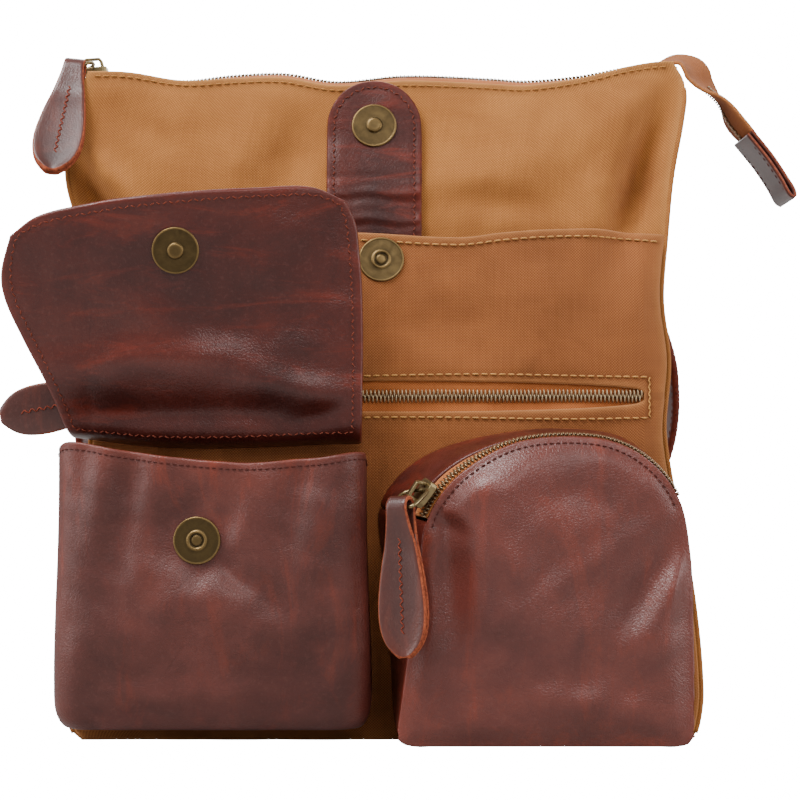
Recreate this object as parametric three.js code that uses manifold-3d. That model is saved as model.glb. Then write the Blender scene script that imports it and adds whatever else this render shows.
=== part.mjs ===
// An upright canvas shoulder bag with two leather box pockets, a canvas patch pocket and three zips.
// Millimetres, +Z up. The front looks along -Y, X runs to the right as the front is seen, and the
// origin is the middle of the base, on the surface that the bag stands on.

import * as THREE from 'three';
import { mergeVertices } from 'three/addons/utils/BufferGeometryUtils.js';
import Module from 'manifold-3d';

const wasm = await Module();
wasm.setup();

// Walls, clearances and small hardware

const canvasWall = 1.4;
const leatherWall = 1.8;
const flapWall = 2.4;
const tapeWall = 0.7;
const seamGap = 0.3;
const seatGap = 0.5;
const snapDiameter = 18;
const snapHeight = 2.2;
const chainWidth = 5;
const chainHeight = 1.8;
const sliderLength = 11;
const sliderWidth = 8.4;
const sliderHeight = 3;
const ringLength = 13;
const ringWidth = 12;
const ringWire = 1.5;
const pullerLength = 56;
const pullerWidth = 20;
const pullerEye = 2.6;
const bridgeClear = ringWire + 5 * seamGap;
const bridgeRail = 1.2;
const bridgeWidth = 2.2;

// Body

const bodyHeight = 270;
const bodyWidth = 252;
const bodyDepth = 76;
const mouthDepth = 24;
const frontBelly = 6;
const backBelly = 3;
const gussetPinch = 7;
const zipRise = 1.4;

// Canvas pocket over the front

const patchHeight = 201.5;
const patchRoom = 7;
const slitGape = 10;
const slitLeft = -92;
const slitRight = 102.5;
const tapeReach = 12;

// Closing tab

const tabWidth = 38;
const tabDrop = 5.5;
const tabHidden = 17.5;
const tabTop = bodyHeight - tabDrop;
const tabFoot = patchHeight - tabHidden;
const tabMiddle = -4.4;
const tabWall = 3.4;
const tabSnapHeight = tabTop - tabWidth / 2;
const patchSnapDrop = 11;
const patchSnapHeight = patchHeight - patchSnapDrop;

// Left pocket and its flap

const domeLeft = 5;
const pocketGap = 10;
const boxLeft = -127;
const boxWidth = domeLeft - pocketGap - boxLeft;
const boxFoot = 9;
const boxHeight = 108;
const boxDepth = 36;
const boxCorner = 11;
const boxSnapHeight = 82;
const boxSnapAcross = -70.6;
const hingeGap = 1.5;
const flapHinge = boxFoot + boxHeight + hingeGap;
const flapHingeSlope = 4;
const flapRise = 98;
const flapWidth = 115;
const flapLean = 40;
const flapRoll = 11;
const flapSnapRise = 73.5;
const flapSnapHeight = flapHinge + flapSnapRise;
const flapSnapAcross = -79.4;
const slitRise = 18;
const slitHeight = flapHinge + slitRise;

// Right pocket

const domeWidth = 112;
const domeFoot = 4;
const domeHeight = 117.5;
const domeDepth = 36;
const domeZipSetback = 1;
const domeCrown = 5;
const domeBatter = 2;

// Strap and the free end of the top zip

const strapWidth = 26;
const strapWall = 3;
const tailWidth = 24;
const endTabLength = 30;
const endTabWidth = 22;

// Tables: lengths are shares of the named sizes that they follow

// Sides of the body: up is a share of the height, left and right of half the width.
const sides = [
  { up: 0, left: 0.955, right: 0.965 },
  { up: 0.016, left: 0.99, right: 0.985 },
  { up: 0.074, left: 1.0, right: 1.0 },
  { up: 0.222, left: 0.975, right: 0.97 },
  { up: 0.444, left: 0.93, right: 0.885 },
  { up: 0.556, left: 0.915, right: 0.9 },
  { up: 0.648, left: 0.93, right: 0.88 },
  { up: 0.741, left: 0.965, right: 0.897 },
  { up: 0.833, left: 1.02, right: 0.92 },
  { up: 0.926, left: 1.01, right: 0.96 },
  { up: 0.97, left: 0.985, right: 0.968 },
  { up: 1, left: 0.965, right: 0.932 },
];

// Top seam: across is a share of half the width, up a share of the height.
const topSeam = [
  { across: -1, up: 0.998 },
  { across: -0.84, up: 0.997 },
  { across: -0.65, up: 0.983 },
  { across: -0.49, up: 0.987 },
  { across: -0.33, up: 0.988 },
  { across: -0.16, up: 0.975 },
  { across: 0.06, up: 0.983 },
  { across: 0.35, up: 0.978 },
  { across: 0.46, up: 0.976 },
  { across: 0.64, up: 0.988 },
  { across: 0.79, up: 1.005 },
  { across: 0.91, up: 1.013 },
  { across: 1, up: 1.008 },
];

// Folds and dents of the front canvas: across and up place the middle, along and wide are the reach as
// shares of the height, turn is in degrees from level and lift is in shares of the front belly.
const frontFolds = [
  { across: -0.96, up: 0.83, along: 0.08, wide: 0.02, turn: -38, lift: 0.55 },
  { across: -1.02, up: 0.79, along: 0.08, wide: 0.02, turn: -38, lift: -0.6 },
  { across: 0.86, up: 0.84, along: 0.11, wide: 0.045, turn: -68, lift: -0.7 },
  { across: -0.28, up: 0.87, along: 0.07, wide: 0.045, turn: 70, lift: -0.45 },
  { across: 0.5, up: 0.87, along: 0.15, wide: 0.05, turn: 24, lift: 0.35 },
];

// Upper edge of the patch pocket: across as above, up is a share of the pocket's height.
const patchEdge = [
  { across: -1, up: 1.0 },
  { across: -0.1, up: 1.0 },
  { across: 0.23, up: 0.99 },
  { across: 0.37, up: 1.0 },
  { across: 0.53, up: 1.007 },
  { across: 0.73, up: 1.006 },
  { across: 1, up: 0.99 },
];

// Mouth of the left pocket, from the rear left round the front to the rear right: way is a share of the
// way round, up a share of the pocket's height.
const boxMouth = [
  { way: 0, up: 0.955 },
  { way: 0.12, up: 0.985 },
  { way: 0.2, up: 1.02 },
  { way: 0.34, up: 0.985 },
  { way: 0.56, up: 0.95 },
  { way: 0.72, up: 0.965 },
  { way: 0.82, up: 0.985 },
  { way: 1, up: 0.95 },
];

// Sections of the left pocket from its foot up: depth is a share of its depth, spread of its width.
const boxSections = [
  { up: 0, depth: 0.02, spread: 0.93 },
  { up: 0, depth: 0.5, spread: 0.93 },
  { up: 0, depth: 0.88, spread: 0.93 },
  { up: 0.02, depth: 0.96, spread: 0.965 },
  { up: 0.07, depth: 1.0, spread: 0.995 },
  { up: 0.16, depth: 1.02, spread: 1.0 },
  { up: 0.3, depth: 1.03, spread: 0.995 },
  { up: 0.45, depth: 1.03, spread: 0.985 },
  { up: 0.6, depth: 1.02, spread: 0.975 },
  { up: 0.74, depth: 1.0, spread: 0.97 },
  { up: 0.87, depth: 0.99, spread: 0.968 },
  { up: 1, depth: 1.0, spread: 0.968 },
];

// Outline of the raised flap from the hinge's left end over the top to its right end: across is a share
// of the flap's width from that left end, up a share of its rise.
const flapLeftSide = [
  { across: 0, up: 0 },
  { across: -0.06, up: 0.2 },
  { across: -0.14, up: 0.4 },
  { across: -0.195, up: 0.56 },
  { across: -0.2, up: 0.66 },
  { across: -0.165, up: 0.8 },
];
const flapTopSide = [
  { across: -0.165, up: 0.8 },
  { across: -0.08, up: 0.87 },
  { across: 0.12, up: 0.93 },
  { across: 0.38, up: 0.97 },
  { across: 0.66, up: 0.995 },
  { across: 0.83, up: 1.0 },
  { across: 0.94, up: 0.95 },
];
const flapRightSide = [
  { across: 0.995, up: 0 },
  { across: 1.0, up: 0.25 },
  { across: 1.0, up: 0.55 },
  { across: 0.99, up: 0.75 },
  { across: 0.975, up: 0.87 },
  { across: 0.94, up: 0.95 },
];

// Outline of the dome pocket's front from its left foot over the arch to its right foot, and the edge of
// its gusset where that meets the canvas: across is a share of its width, up of its height.
const domeOutline = [
  { across: 0.0, up: 0.05, rearAcross: -0.015, rearUp: 0.05 },
  { across: 0.035, up: 0.3, rearAcross: -0.03, rearUp: 0.3 },
  { across: 0.07, up: 0.52, rearAcross: -0.05, rearUp: 0.55 },
  { across: 0.1, up: 0.73, rearAcross: -0.065, rearUp: 0.76 },
  { across: 0.17, up: 0.84, rearAcross: 0.02, rearUp: 0.88 },
  { across: 0.27, up: 0.92, rearAcross: 0.15, rearUp: 0.955 },
  { across: 0.4, up: 0.98, rearAcross: 0.36, rearUp: 1.005 },
  { across: 0.56, up: 1.0, rearAcross: 0.56, rearUp: 1.02 },
  { across: 0.72, up: 0.985, rearAcross: 0.76, rearUp: 1.0 },
  { across: 0.85, up: 0.92, rearAcross: 0.88, rearUp: 0.93 },
  { across: 0.95, up: 0.8, rearAcross: 0.97, rearUp: 0.8 },
  { across: 0.99, up: 0.62, rearAcross: 1.0, rearUp: 0.62 },
  { across: 1.0, up: 0.35, rearAcross: 1.0, rearUp: 0.35 },
  { across: 1.0, up: 0.06, rearAcross: 0.99, rearUp: 0.06 },
];
const archFrom = 3;
const archTo = 10;

// Width of a zip puller along its length, both as shares.
const pullerOutline = [
  { down: 0, wide: 0.42 },
  { down: 0.08, wide: 0.47 },
  { down: 0.25, wide: 0.66 },
  { down: 0.45, wide: 0.87 },
  { down: 0.66, wide: 1.0 },
  { down: 0.8, wide: 0.95 },
  { down: 0.9, wide: 0.76 },
  { down: 0.97, wide: 0.44 },
  { down: 1, wide: 0.2 },
];

// Course of the shoulder strap: across is a share of half the body's width, back of half its depth, up
// of its height. Rows with no across lie on the gusset.
const strapCourse = [
  { side: -1, back: 0, up: 0.94 },
  { side: -1, back: 0, up: 0.88 },
  { side: -1, back: 0, up: 0.81 },
  { across: -1.03, back: 0.15, up: 0.68 },
  { across: -1.05, back: 0.75, up: 0.54 },
  { across: -1.04, back: 1.3, up: 0.42 },
  { across: -0.9, back: 1.5, up: 0.27 },
  { across: -0.55, back: 1.52, up: 0.14 },
  { across: 0, back: 1.52, up: 0.09 },
  { across: 0.52, back: 1.52, up: 0.15 },
  { across: 0.84, back: 1.5, up: 0.29 },
  { across: 0.99, back: 1.3, up: 0.42 },
  { across: 1.01, back: 0.75, up: 0.54 },
  { across: 0.965, back: 0.15, up: 0.68 },
  { side: 1, back: 0, up: 0.81 },
  { side: 1, back: 0, up: 0.88 },
  { side: 1, back: 0, up: 0.94 },
];

// Course of the free zip end past the top right corner, as shares of the height from that corner, with
// the turn of the tape about its own length in degrees and its width as a share.
const tailCourse = [
  { across: 0.012, up: 0.004, turn: 0, wide: 0.75 },
  { across: 0.03, up: -0.004, turn: 12, wide: 1 },
  { across: 0.05, up: -0.03, turn: 20, wide: 0.95 },
  { across: 0.076, up: -0.056, turn: 18, wide: 0.8 },
  { across: 0.096, up: -0.09, turn: 14, wide: 0.85 },
  { across: 0.12, up: -0.118, turn: 12, wide: 0.85 },
];

// Number helpers

const mix = (from, to, share) => from + (to - from) * share;
const clamp = (value, low, high) => Math.min(Math.max(value, low), high);
const smooth = (share) => share * share * (3 - 2 * share);

// A smooth curve through one column of a table, read by another column.
function curveOf(rows, key, value) {
  const slope = (index) => {
    const before = rows[Math.max(index - 1, 0)];
    const after = rows[Math.min(index + 1, rows.length - 1)];
    return (after[value] - before[value]) / (after[key] - before[key]);
  };
  return (at) => {
    const place = clamp(at, rows[0][key], rows[rows.length - 1][key]);
    let index = 0;
    while (index < rows.length - 2 && place > rows[index + 1][key]) {
      index += 1;
    }
    const from = rows[index];
    const to = rows[index + 1];
    const span = to[key] - from[key];
    const share = (place - from[key]) / span;
    const rise = smooth(share);
    const leave = share * (1 - share) * (1 - share) * span * slope(index);
    const arrive = share * share * (1 - share) * span * slope(index + 1);
    return mix(from[value], to[value], rise) + leave - arrive;
  };
}

const evenShares = (count) => Array.from({ length: count + 1 }, (_, index) => index / count);

// Solid helpers

// Turns every face outward, whichever way round the shares of a sheet ran.
function facingOut(geometry) {
  const place = geometry.attributes.position;
  const [a, b, c] = [new THREE.Vector3(), new THREE.Vector3(), new THREE.Vector3()];
  let volume = 0;
  for (let index = 0; index < place.count; index += 3) {
    a.fromBufferAttribute(place, index);
    b.fromBufferAttribute(place, index + 1);
    c.fromBufferAttribute(place, index + 2);
    volume += a.dot(b.cross(c));
  }
  if (volume < 0) {
    for (let index = 0; index < place.count; index += 3) {
      b.fromBufferAttribute(place, index + 1);
      c.fromBufferAttribute(place, index + 2);
      place.setXYZ(index + 1, c.x, c.y, c.z);
      place.setXYZ(index + 2, b.x, b.y, b.z);
    }
  }
  geometry.computeVertexNormals();
  return geometry;
}

// A sheet closed between an outer and an inner face, which are functions of a column and a row share.
// Cells that keep refuses are left open, as a slit is.
function sheet(outer, inner, columns, rows, keep = () => true) {
  const points = [outer, inner].map((face) => rows.map((row) => columns.map((column) => face(column, row))));
  const positions = [];
  const triangle = (...corners) => corners.forEach((corner) => positions.push(corner.x, corner.y, corner.z));
  const quad = (a, b, c, d) => {
    triangle(a, b, c);
    triangle(a, c, d);
  };
  const kept = (column, row) => {
    const inside = column >= 0 && row >= 0 && column < columns.length - 1 && row < rows.length - 1;
    return inside && keep((columns[column] + columns[column + 1]) / 2, (rows[row] + rows[row + 1]) / 2);
  };
  const [near, far] = points;
  for (let row = 0; row < rows.length - 1; row += 1) {
    for (let column = 0; column < columns.length - 1; column += 1) {
      if (!kept(column, row)) {
        continue;
      }
      const next = column + 1;
      const above = row + 1;
      quad(near[row][column], near[row][next], near[above][next], near[above][column]);
      quad(far[row][column], far[above][column], far[above][next], far[row][next]);
      if (!kept(column, row - 1)) {
        quad(near[row][next], near[row][column], far[row][column], far[row][next]);
      }
      if (!kept(next, row)) {
        quad(near[above][next], near[row][next], far[row][next], far[above][next]);
      }
      if (!kept(column, above)) {
        quad(near[above][column], near[above][next], far[above][next], far[above][column]);
      }
      if (!kept(column - 1, row)) {
        quad(near[row][column], near[above][column], far[above][column], far[row][column]);
      }
    }
  }
  const geometry = new THREE.BufferGeometry();
  geometry.setAttribute('position', new THREE.Float32BufferAttribute(positions, 3));
  return facingOut(geometry);
}

// A band of even thickness along a course. It is given by the width's direction and size at each share.
function band(course, widthAt, sizeAt, thickness, steps, columns) {
  const face = (side) => (column, row) => {
    const middle = course.getPointAt(row);
    const width = widthAt(row);
    const normal = course.getTangentAt(row).cross(width).normalize();
    return middle
      .addScaledVector(width, (column - 0.5) * sizeAt(row))
      .addScaledVector(normal, (side * thickness) / 2);
  };
  return sheet(face(1), face(-1), evenShares(columns), evenShares(steps));
}

// Fills an outline given by four plane curves, the lower and upper from left to right.
function fillOutline(lower, upper, left, right) {
  const at = (curve, share) => curve.getPointAt(clamp(share, 0, 1));
  const corners = [lower.getPoint(0), lower.getPoint(1), upper.getPoint(0), upper.getPoint(1)];
  return (across, up) => {
    const point = at(lower, across).multiplyScalar(1 - up);
    point.addScaledVector(at(upper, across), up);
    point.addScaledVector(at(left, up), 1 - across);
    point.addScaledVector(at(right, up), across);
    point.addScaledVector(corners[0], -(1 - across) * (1 - up));
    point.addScaledVector(corners[1], -across * (1 - up));
    point.addScaledVector(corners[2], -(1 - across) * up);
    point.addScaledVector(corners[3], -across * up);
    return point;
  };
}

// Joins closed meshes into one solid.
function joined(...geometries) {
  const solids = geometries.map((geometry) => {
    const bare = geometry.clone();
    bare.deleteAttribute('normal');
    bare.deleteAttribute('uv');
    const merged = mergeVertices(bare, 1e-4);
    const vertProperties = new Float32Array(merged.attributes.position.array);
    const triVerts = new Uint32Array(merged.index.array);
    return new wasm.Manifold(new wasm.Mesh({ numProp: 3, vertProperties, triVerts }));
  });
  const result = solids.reduce((sum, solid) => sum.add(solid)).getMesh();
  const geometry = new THREE.BufferGeometry();
  geometry.setAttribute('position', new THREE.Float32BufferAttribute(result.vertProperties, 3));
  geometry.setIndex(Array.from(result.triVerts));
  return geometry.toNonIndexed();
}

// Materials

const canvas = new THREE.MeshStandardMaterial({ color: '#b0793f', roughness: 0.92, metalness: 0 });
const leather = new THREE.MeshStandardMaterial({ color: '#5a2f28', roughness: 0.5, metalness: 0 });
const tape = new THREE.MeshStandardMaterial({ color: '#b0642c', roughness: 0.85, metalness: 0 });
const brass = new THREE.MeshStandardMaterial({ color: '#7d6a3f', roughness: 0.38, metalness: 1 });

const bag = new THREE.Group();

function addPiece(name, geometry, material, parent = bag) {
  const piece = new THREE.Mesh(geometry, material);
  piece.name = name;
  parent.add(piece);
  return piece;
}

// Body

const halfWidth = bodyWidth / 2;
const leftShare = curveOf(sides, 'up', 'left');
const rightShare = curveOf(sides, 'up', 'right');
const topShare = curveOf(topSeam, 'across', 'up');
const sideLeft = (z) => -halfWidth * leftShare(z / bodyHeight);
const sideRight = (z) => halfWidth * rightShare(z / bodyHeight);
const topAt = (x) => bodyHeight * topShare(x / halfWidth);
const halfDepth = (z) => mix(bodyDepth, mouthDepth, clamp(z / bodyHeight, 0, 1) ** 3) / 2;

// How far a belly stands out: all in the middle, nothing at the seams.
function bellyShare(x, z) {
  const across = clamp(x / halfWidth, -1, 1);
  return (1 - across * across) * Math.sin(Math.PI * clamp(z / bodyHeight, 0, 1));
}

function foldLift(x, z) {
  return frontFolds.reduce((sum, fold) => {
    const turn = THREE.MathUtils.degToRad(fold.turn);
    const east = (x - fold.across * halfWidth) / bodyHeight;
    const north = z / bodyHeight - fold.up;
    const along = (east * Math.cos(turn) + north * Math.sin(turn)) / fold.along;
    const wide = (north * Math.cos(turn) - east * Math.sin(turn)) / fold.wide;
    return sum + fold.lift * frontBelly * Math.exp(-along * along - wide * wide);
  }, 0) * seamFade(x, z);
}

// Folds die away towards the side seams.
function seamFade(x, z) {
  const room = Math.min(x - sideLeft(z), sideRight(z) - x) / halfWidth;
  return smooth(clamp(room / 0.14, 0, 1));
}

const frontAt = (x, z) => -halfDepth(z) - frontBelly * bellyShare(x, z) - foldLift(x, z);
const backAt = (x, z) => halfDepth(z) + backBelly * bellyShare(x, z);

// A panel between the sides, from the floor to the top seam, standing off its surface.
function bodyPanel(depthAt, standOff) {
  return (column, row) => {
    const x = mix(sideLeft(row * bodyHeight), sideRight(row * bodyHeight), column);
    const z = row * topAt(x);
    return new THREE.Vector3(x, depthAt(x, z) + standOff, z);
  };
}

const panelRows = [0, 0.016, 0.07, 0.16, 0.28, 0.4, 0.52, 0.64, 0.72, 0.78, 0.83, 0.88, 0.93, 0.97, 1];
addPiece(
  'front_panel',
  sheet(bodyPanel(frontAt, 0), bodyPanel(frontAt, canvasWall), evenShares(18), panelRows),
  canvas,
);
const backRows = [0, 0.016, 0.05, 0.15, 0.3, 0.45, 0.6, 0.75, 0.87, 0.95, 1];
addPiece(
  'back_panel',
  sheet(bodyPanel(backAt, 0), bodyPanel(backAt, -canvasWall), evenShares(10), backRows),
  canvas,
);

// The gusset runs down the left side, under the base and up the right side.
const gussetTop = bodyHeight * 0.975;
const footRound = canvasWall * 3;
const gussetHeights = [0.975, 0.93, 0.87, 0.8, 0.72, 0.64, 0.54, 0.44, 0.33, 0.22, 0.12, 0.06];

function gussetPlace(way, inset) {
  const ups = gussetHeights.map((share) => share * bodyHeight);
  const leftSide = ups.map((z) => [sideLeft(z) + inset, z, 1, 0]);
  const rightSide = ups.map((z) => [sideRight(z) - inset, z, -1, 0]).reverse();
  const base = [-0.98, -0.9, -0.6, -0.3, 0, 0.3, 0.6, 0.9, 0.98].map((share) => {
    const reach = share < 0 ? -sideLeft(0) : sideRight(0);
    return [share * (reach - inset), inset, 0, 1];
  });
  const corner = (side, sign) => [[side(footRound) + sign * inset, Math.max(footRound, inset * 2), sign, 0]];
  const stations = [...leftSide, ...corner(sideLeft, 1), ...base, ...corner(sideRight, -1), ...rightSide];
  return stations[Math.round(way * (stations.length - 1))];
}

// How far the gusset is pinched in: most in its middle, nothing at its rims and at the base.
function pinchAt(reach, z) {
  return gussetPinch * (1 - reach ** 2) * smooth(clamp(z / bodyHeight - 0.08, 0, 1));
}

const gussetStations = gussetHeights.length * 2 + 11;
const gussetFace = (inset) => (column, row) => {
  const [x, z, inward] = gussetPlace(row, inset);
  const front = frontAt(x, z) + canvasWall + seamGap;
  const back = backAt(x, z) - canvasWall - seamGap;
  const pinch = inward * pinchAt(2 * column - 1, z);
  return new THREE.Vector3(x + pinch, mix(front, back, column), z);
};
addPiece(
  'gusset',
  sheet(gussetFace(0), gussetFace(canvasWall), evenShares(4), evenShares(gussetStations - 1)),
  canvas,
);

// Top zip

const zipLeft = sideLeft(gussetTop) + canvasWall + 2 * seamGap;
const zipRight = sideRight(gussetTop) - canvasWall - 2 * seamGap;
const tapeFall = 3.4;

// Half of the top zip's tape, from the middle of the mouth out and down to the inside of its panel.
function topTape(sign, drop) {
  return (column, row) => {
    const x = mix(zipLeft, zipRight, row);
    const wall = canvasWall + seamGap;
    const edge = sign < 0 ? frontAt(x, topAt(x)) + wall : backAt(x, topAt(x)) - wall;
    const y = mix(sign * seamGap, edge, column);
    return new THREE.Vector3(x, y, topAt(x) + zipRise - tapeFall * column ** 1.5 - drop);
  };
}

for (const [name, sign] of [['top_zip_tape_front', -1], ['top_zip_tape_back', 1]]) {
  addPiece(name, sheet(topTape(sign, 0), topTape(sign, tapeWall), evenShares(2), evenShares(20)), tape);
}

const topChain = (rise) => (column, row) => {
  const x = mix(zipLeft, zipRight, row);
  const y = (column - 0.5) * chainWidth;
  return new THREE.Vector3(x, y, topAt(x) + zipRise + rise);
};
addPiece(
  'top_zip_chain',
  sheet(topChain(seamGap), topChain(seamGap + chainHeight), [0, 1], evenShares(22)),
  brass,
);

// Canvas patch pocket with its slit

const patchShare = curveOf(patchEdge, 'across', 'up');
const patchTop = (x) => patchHeight * patchShare(x / halfWidth);

// How far the patch pocket stands off the front panel.
function patchStand(x, z) {
  const across = clamp(Math.abs(x) / halfWidth, 0, 1);
  const room = patchRoom * (1 - across ** 4) * smooth(clamp(z / (patchHeight * 0.35), 0, 1));
  return canvasWall + seamGap + room;
}

const patchAt = (x, z) => frontAt(x, z) - patchStand(x, z);

// The slit is a lens: widest in the middle, narrow at its ends.
function slitHalf(x) {
  const share = clamp((x - slitLeft) / (slitRight - slitLeft), 0, 1);
  return (slitGape / 2) * (0.7 + 0.3 * Math.sin(Math.PI * share));
}

const patchLow = 0.002;
const seamInset = 1.5;

// Columns of the pocket: some at each side of the slit, and those that cross it. The rows leave a band
// free for the slit between those below it and those above it.
const sideCells = 3;
const slitCells = 16;
const slitFrom = sideCells;
const slitTo = sideCells + slitCells;
const patchCells = slitTo + sideCells;
const rowsBelow = 0.45;
const rowsAbove = 1 - rowsBelow;

function patchPoint(column, row, standOff) {
  const index = Math.round(column * patchCells);
  const below = row < 0.5;
  const level = below ? mix(0, slitHeight, row * 2) : mix(slitHeight, patchHeight, row * 2 - 1);
  const left = sideLeft(level) + seamInset;
  const right = sideRight(level) - seamInset;
  let x;
  if (index <= slitFrom) {
    x = mix(left, slitLeft, index / slitFrom);
  } else if (index >= slitTo) {
    x = mix(slitRight, right, (index - slitTo) / sideCells);
  } else {
    x = mix(slitLeft, slitRight, (index - slitFrom) / slitCells);
  }
  const half = slitHalf(x);
  const lowEdge = patchLow * patchHeight;
  let z;
  if (row <= rowsBelow) {
    z = mix(lowEdge, slitHeight - half, row / rowsBelow);
  } else if (row >= rowsAbove) {
    z = mix(slitHeight + half, patchTop(x), (row - rowsAbove) / rowsBelow);
  } else {
    z = slitHeight;
  }
  return new THREE.Vector3(x, patchAt(x, z) + standOff, z);
}

const patchRows = [
  ...[0, 0.06, 0.16, 0.28, 0.4, 0.52, 0.64, 0.76, 0.88, 1].map((share) => share * rowsBelow),
  ...[0, 0.18, 0.36, 0.54, 0.72, 0.88, 1].map((share) => mix(rowsAbove, 1, share)),
];
const inSlit = (column, row) => {
  const index = column * patchCells;
  return row > rowsBelow && row < rowsAbove && index > slitFrom && index < slitTo;
};
addPiece(
  'canvas_pocket',
  sheet(
    (column, row) => patchPoint(column, row, 0),
    (column, row) => patchPoint(column, row, canvasWall),
    evenShares(patchCells),
    patchRows,
    (column, row) => !inSlit(column, row),
  ),
  canvas,
);

// Front zip behind the slit

function slitStrip(half, reach, standOff) {
  return (column, row) => {
    const x = mix(slitLeft - reach, slitRight + reach, column);
    const z = slitHeight + (row - 0.5) * 2 * half;
    return new THREE.Vector3(x, patchAt(x, z) + standOff, z);
  };
}

const tapeFace = canvasWall + seamGap;
addPiece(
  'front_zip_tape',
  sheet(
    slitStrip(tapeReach, 4, tapeFace),
    slitStrip(tapeReach, 4, tapeFace + tapeWall),
    evenShares(18),
    evenShares(2),
  ),
  tape,
);
addPiece(
  'front_zip_chain',
  sheet(
    slitStrip(chainWidth / 2, -1, tapeFace - seamGap - chainHeight),
    slitStrip(chainWidth / 2, -1, tapeFace - seamGap),
    evenShares(20),
    [0, 1],
  ),
  brass,
);

// Closing tab

const roundEnd = tabWidth / 2;
const tabCurve = (points) => new THREE.CatmullRomCurve3(points.map(([x, z]) => new THREE.Vector3(x, 0, z)));
const arcAt = (degrees) => {
  const turn = THREE.MathUtils.degToRad(degrees);
  return [tabMiddle + roundEnd * Math.cos(turn), tabTop - roundEnd + roundEnd * Math.sin(turn)];
};
const line = (from, to) => new THREE.LineCurve3(
  new THREE.Vector3(from[0], 0, from[1]),
  new THREE.Vector3(to[0], 0, to[1]),
);
const tabFlank = (x, turns) => tabCurve([
  [x, tabFoot],
  [x, mix(tabFoot, tabTop, 0.35)],
  ...turns.map(arcAt),
]);
const tabPlace = fillOutline(
  line([tabMiddle - roundEnd, tabFoot], [tabMiddle + roundEnd, tabFoot]),
  tabCurve([150, 135, 120, 105, 90, 75, 60, 45, 30].map(arcAt)),
  tabFlank(tabMiddle - roundEnd, [180, 165, 150]),
  tabFlank(tabMiddle + roundEnd, [0, 15, 30]),
);
const tabFace = (standOff) => (column, row) => {
  const { x, z } = tabPlace(column, row);
  return new THREE.Vector3(x, frontAt(x, z) - seamGap - standOff, z);
};
addPiece('closing_tab', sheet(tabFace(tabWall), tabFace(0), evenShares(6), evenShares(10)), leather);

// Left leather pocket: a box with round corners, open at the top

const boxMouthShare = curveOf(boxMouth, 'way', 'up');

// The way round the box as seen from above, in shares of its width and depth.
function boxWay(way, width, depth) {
  const round = Math.min(boxCorner, depth * 0.9);
  const flank = depth - round;
  const quarter = (Math.PI * round) / 2;
  const face = width - 2 * round;
  const total = 2 * (flank + quarter) + face;
  const walked = way * total;
  const mirrored = walked > total / 2;
  const step = mirrored ? total - walked : walked;
  let across;
  let forward;
  if (step < flank) {
    across = 0;
    forward = step;
  } else if (step < flank + quarter) {
    const turn = (step - flank) / round;
    across = round * (1 - Math.cos(turn));
    forward = flank + round * Math.sin(turn);
  } else {
    across = round + step - flank - quarter;
    forward = depth;
  }
  return { across: mirrored ? width - across : across, forward };
}

const boxMiddle = boxLeft + boxWidth / 2;
const boxFace = (inset) => (way, row) => {
  const index = Math.round(row * (boxSections.length - 1));
  const section = boxSections[index];
  const width = boxWidth * section.spread - 2 * inset;
  const depth = Math.max(boxDepth * section.depth - (section.depth > 0.1 ? inset : 0), 0.4);
  const { across, forward } = boxWay(way, width, depth);
  const x = boxMiddle - width / 2 + across;
  const full = boxHeight * boxMouthShare(way);
  const z = boxFoot + Math.max(section.up * full, inset);
  const rear = patchAt(clamp(x, sideLeft(z) + 4, halfWidth), z) - seatGap;
  return new THREE.Vector3(x, rear - forward, z);
};
const boxWays = [
  0, 0.07, 0.13, 0.155, 0.18, 0.205, 0.235, 0.3, 0.37, 0.44,
  0.5,
  0.56, 0.63, 0.7, 0.765, 0.795, 0.82, 0.845, 0.87, 0.93, 1,
];
addPiece(
  'left_pocket',
  sheet(boxFace(0), boxFace(leatherWall), boxWays, evenShares(boxSections.length - 1)),
  leather,
);

// Raised flap

const flapLeft = boxLeft + leatherWall + 2;
const flapFootAt = (x) => flapHinge + flapHingeSlope * clamp(1 - (x - flapLeft) / flapWidth, 0, 1);
const flapCurve = (rows) => new THREE.CatmullRomCurve3(rows.map((row) => {
  const x = flapLeft + row.across * flapWidth;
  return new THREE.Vector3(x, 0, mix(flapFootAt(x), flapHinge + flapRise, row.up));
}));
const flapPlace = fillOutline(
  line([flapLeft, flapHinge + flapHingeSlope], [flapLeft + 0.995 * flapWidth, flapHinge]),
  flapCurve(flapTopSide),
  flapCurve(flapLeftSide),
  flapCurve(flapRightSide),
);

// The flap leans forward as it rises, and most at its left.
function flapAt(x, z) {
  const up = clamp((z - flapFootAt(x)) / flapRise, 0, 1);
  const across = clamp((x - flapLeft) / flapWidth, -0.2, 1);
  const reach = mix(flapLean, flapLean * 0.35, clamp(across, 0, 1)) - flapRoll;
  const lean = flapRoll * (1 - Math.exp(-up / 0.02)) + reach * up;
  const hinge = patchAt(clamp(x, sideLeft(flapHinge) + 3, halfWidth), flapHinge);
  return hinge - seatGap - lean;
}

const flapRows = [0, 0.02, 0.05, 0.1, 0.18, 0.28, 0.4, 0.52, 0.64, 0.76, 0.88, 1];
const flapFace = (standOff) => (column, row) => {
  const { x, z } = flapPlace(column, row);
  return new THREE.Vector3(x, flapAt(x, z) - standOff, z);
};
addPiece('flap', sheet(flapFace(flapWall), flapFace(0), evenShares(14), flapRows), leather);

// Right leather pocket with the arched zip

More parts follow.
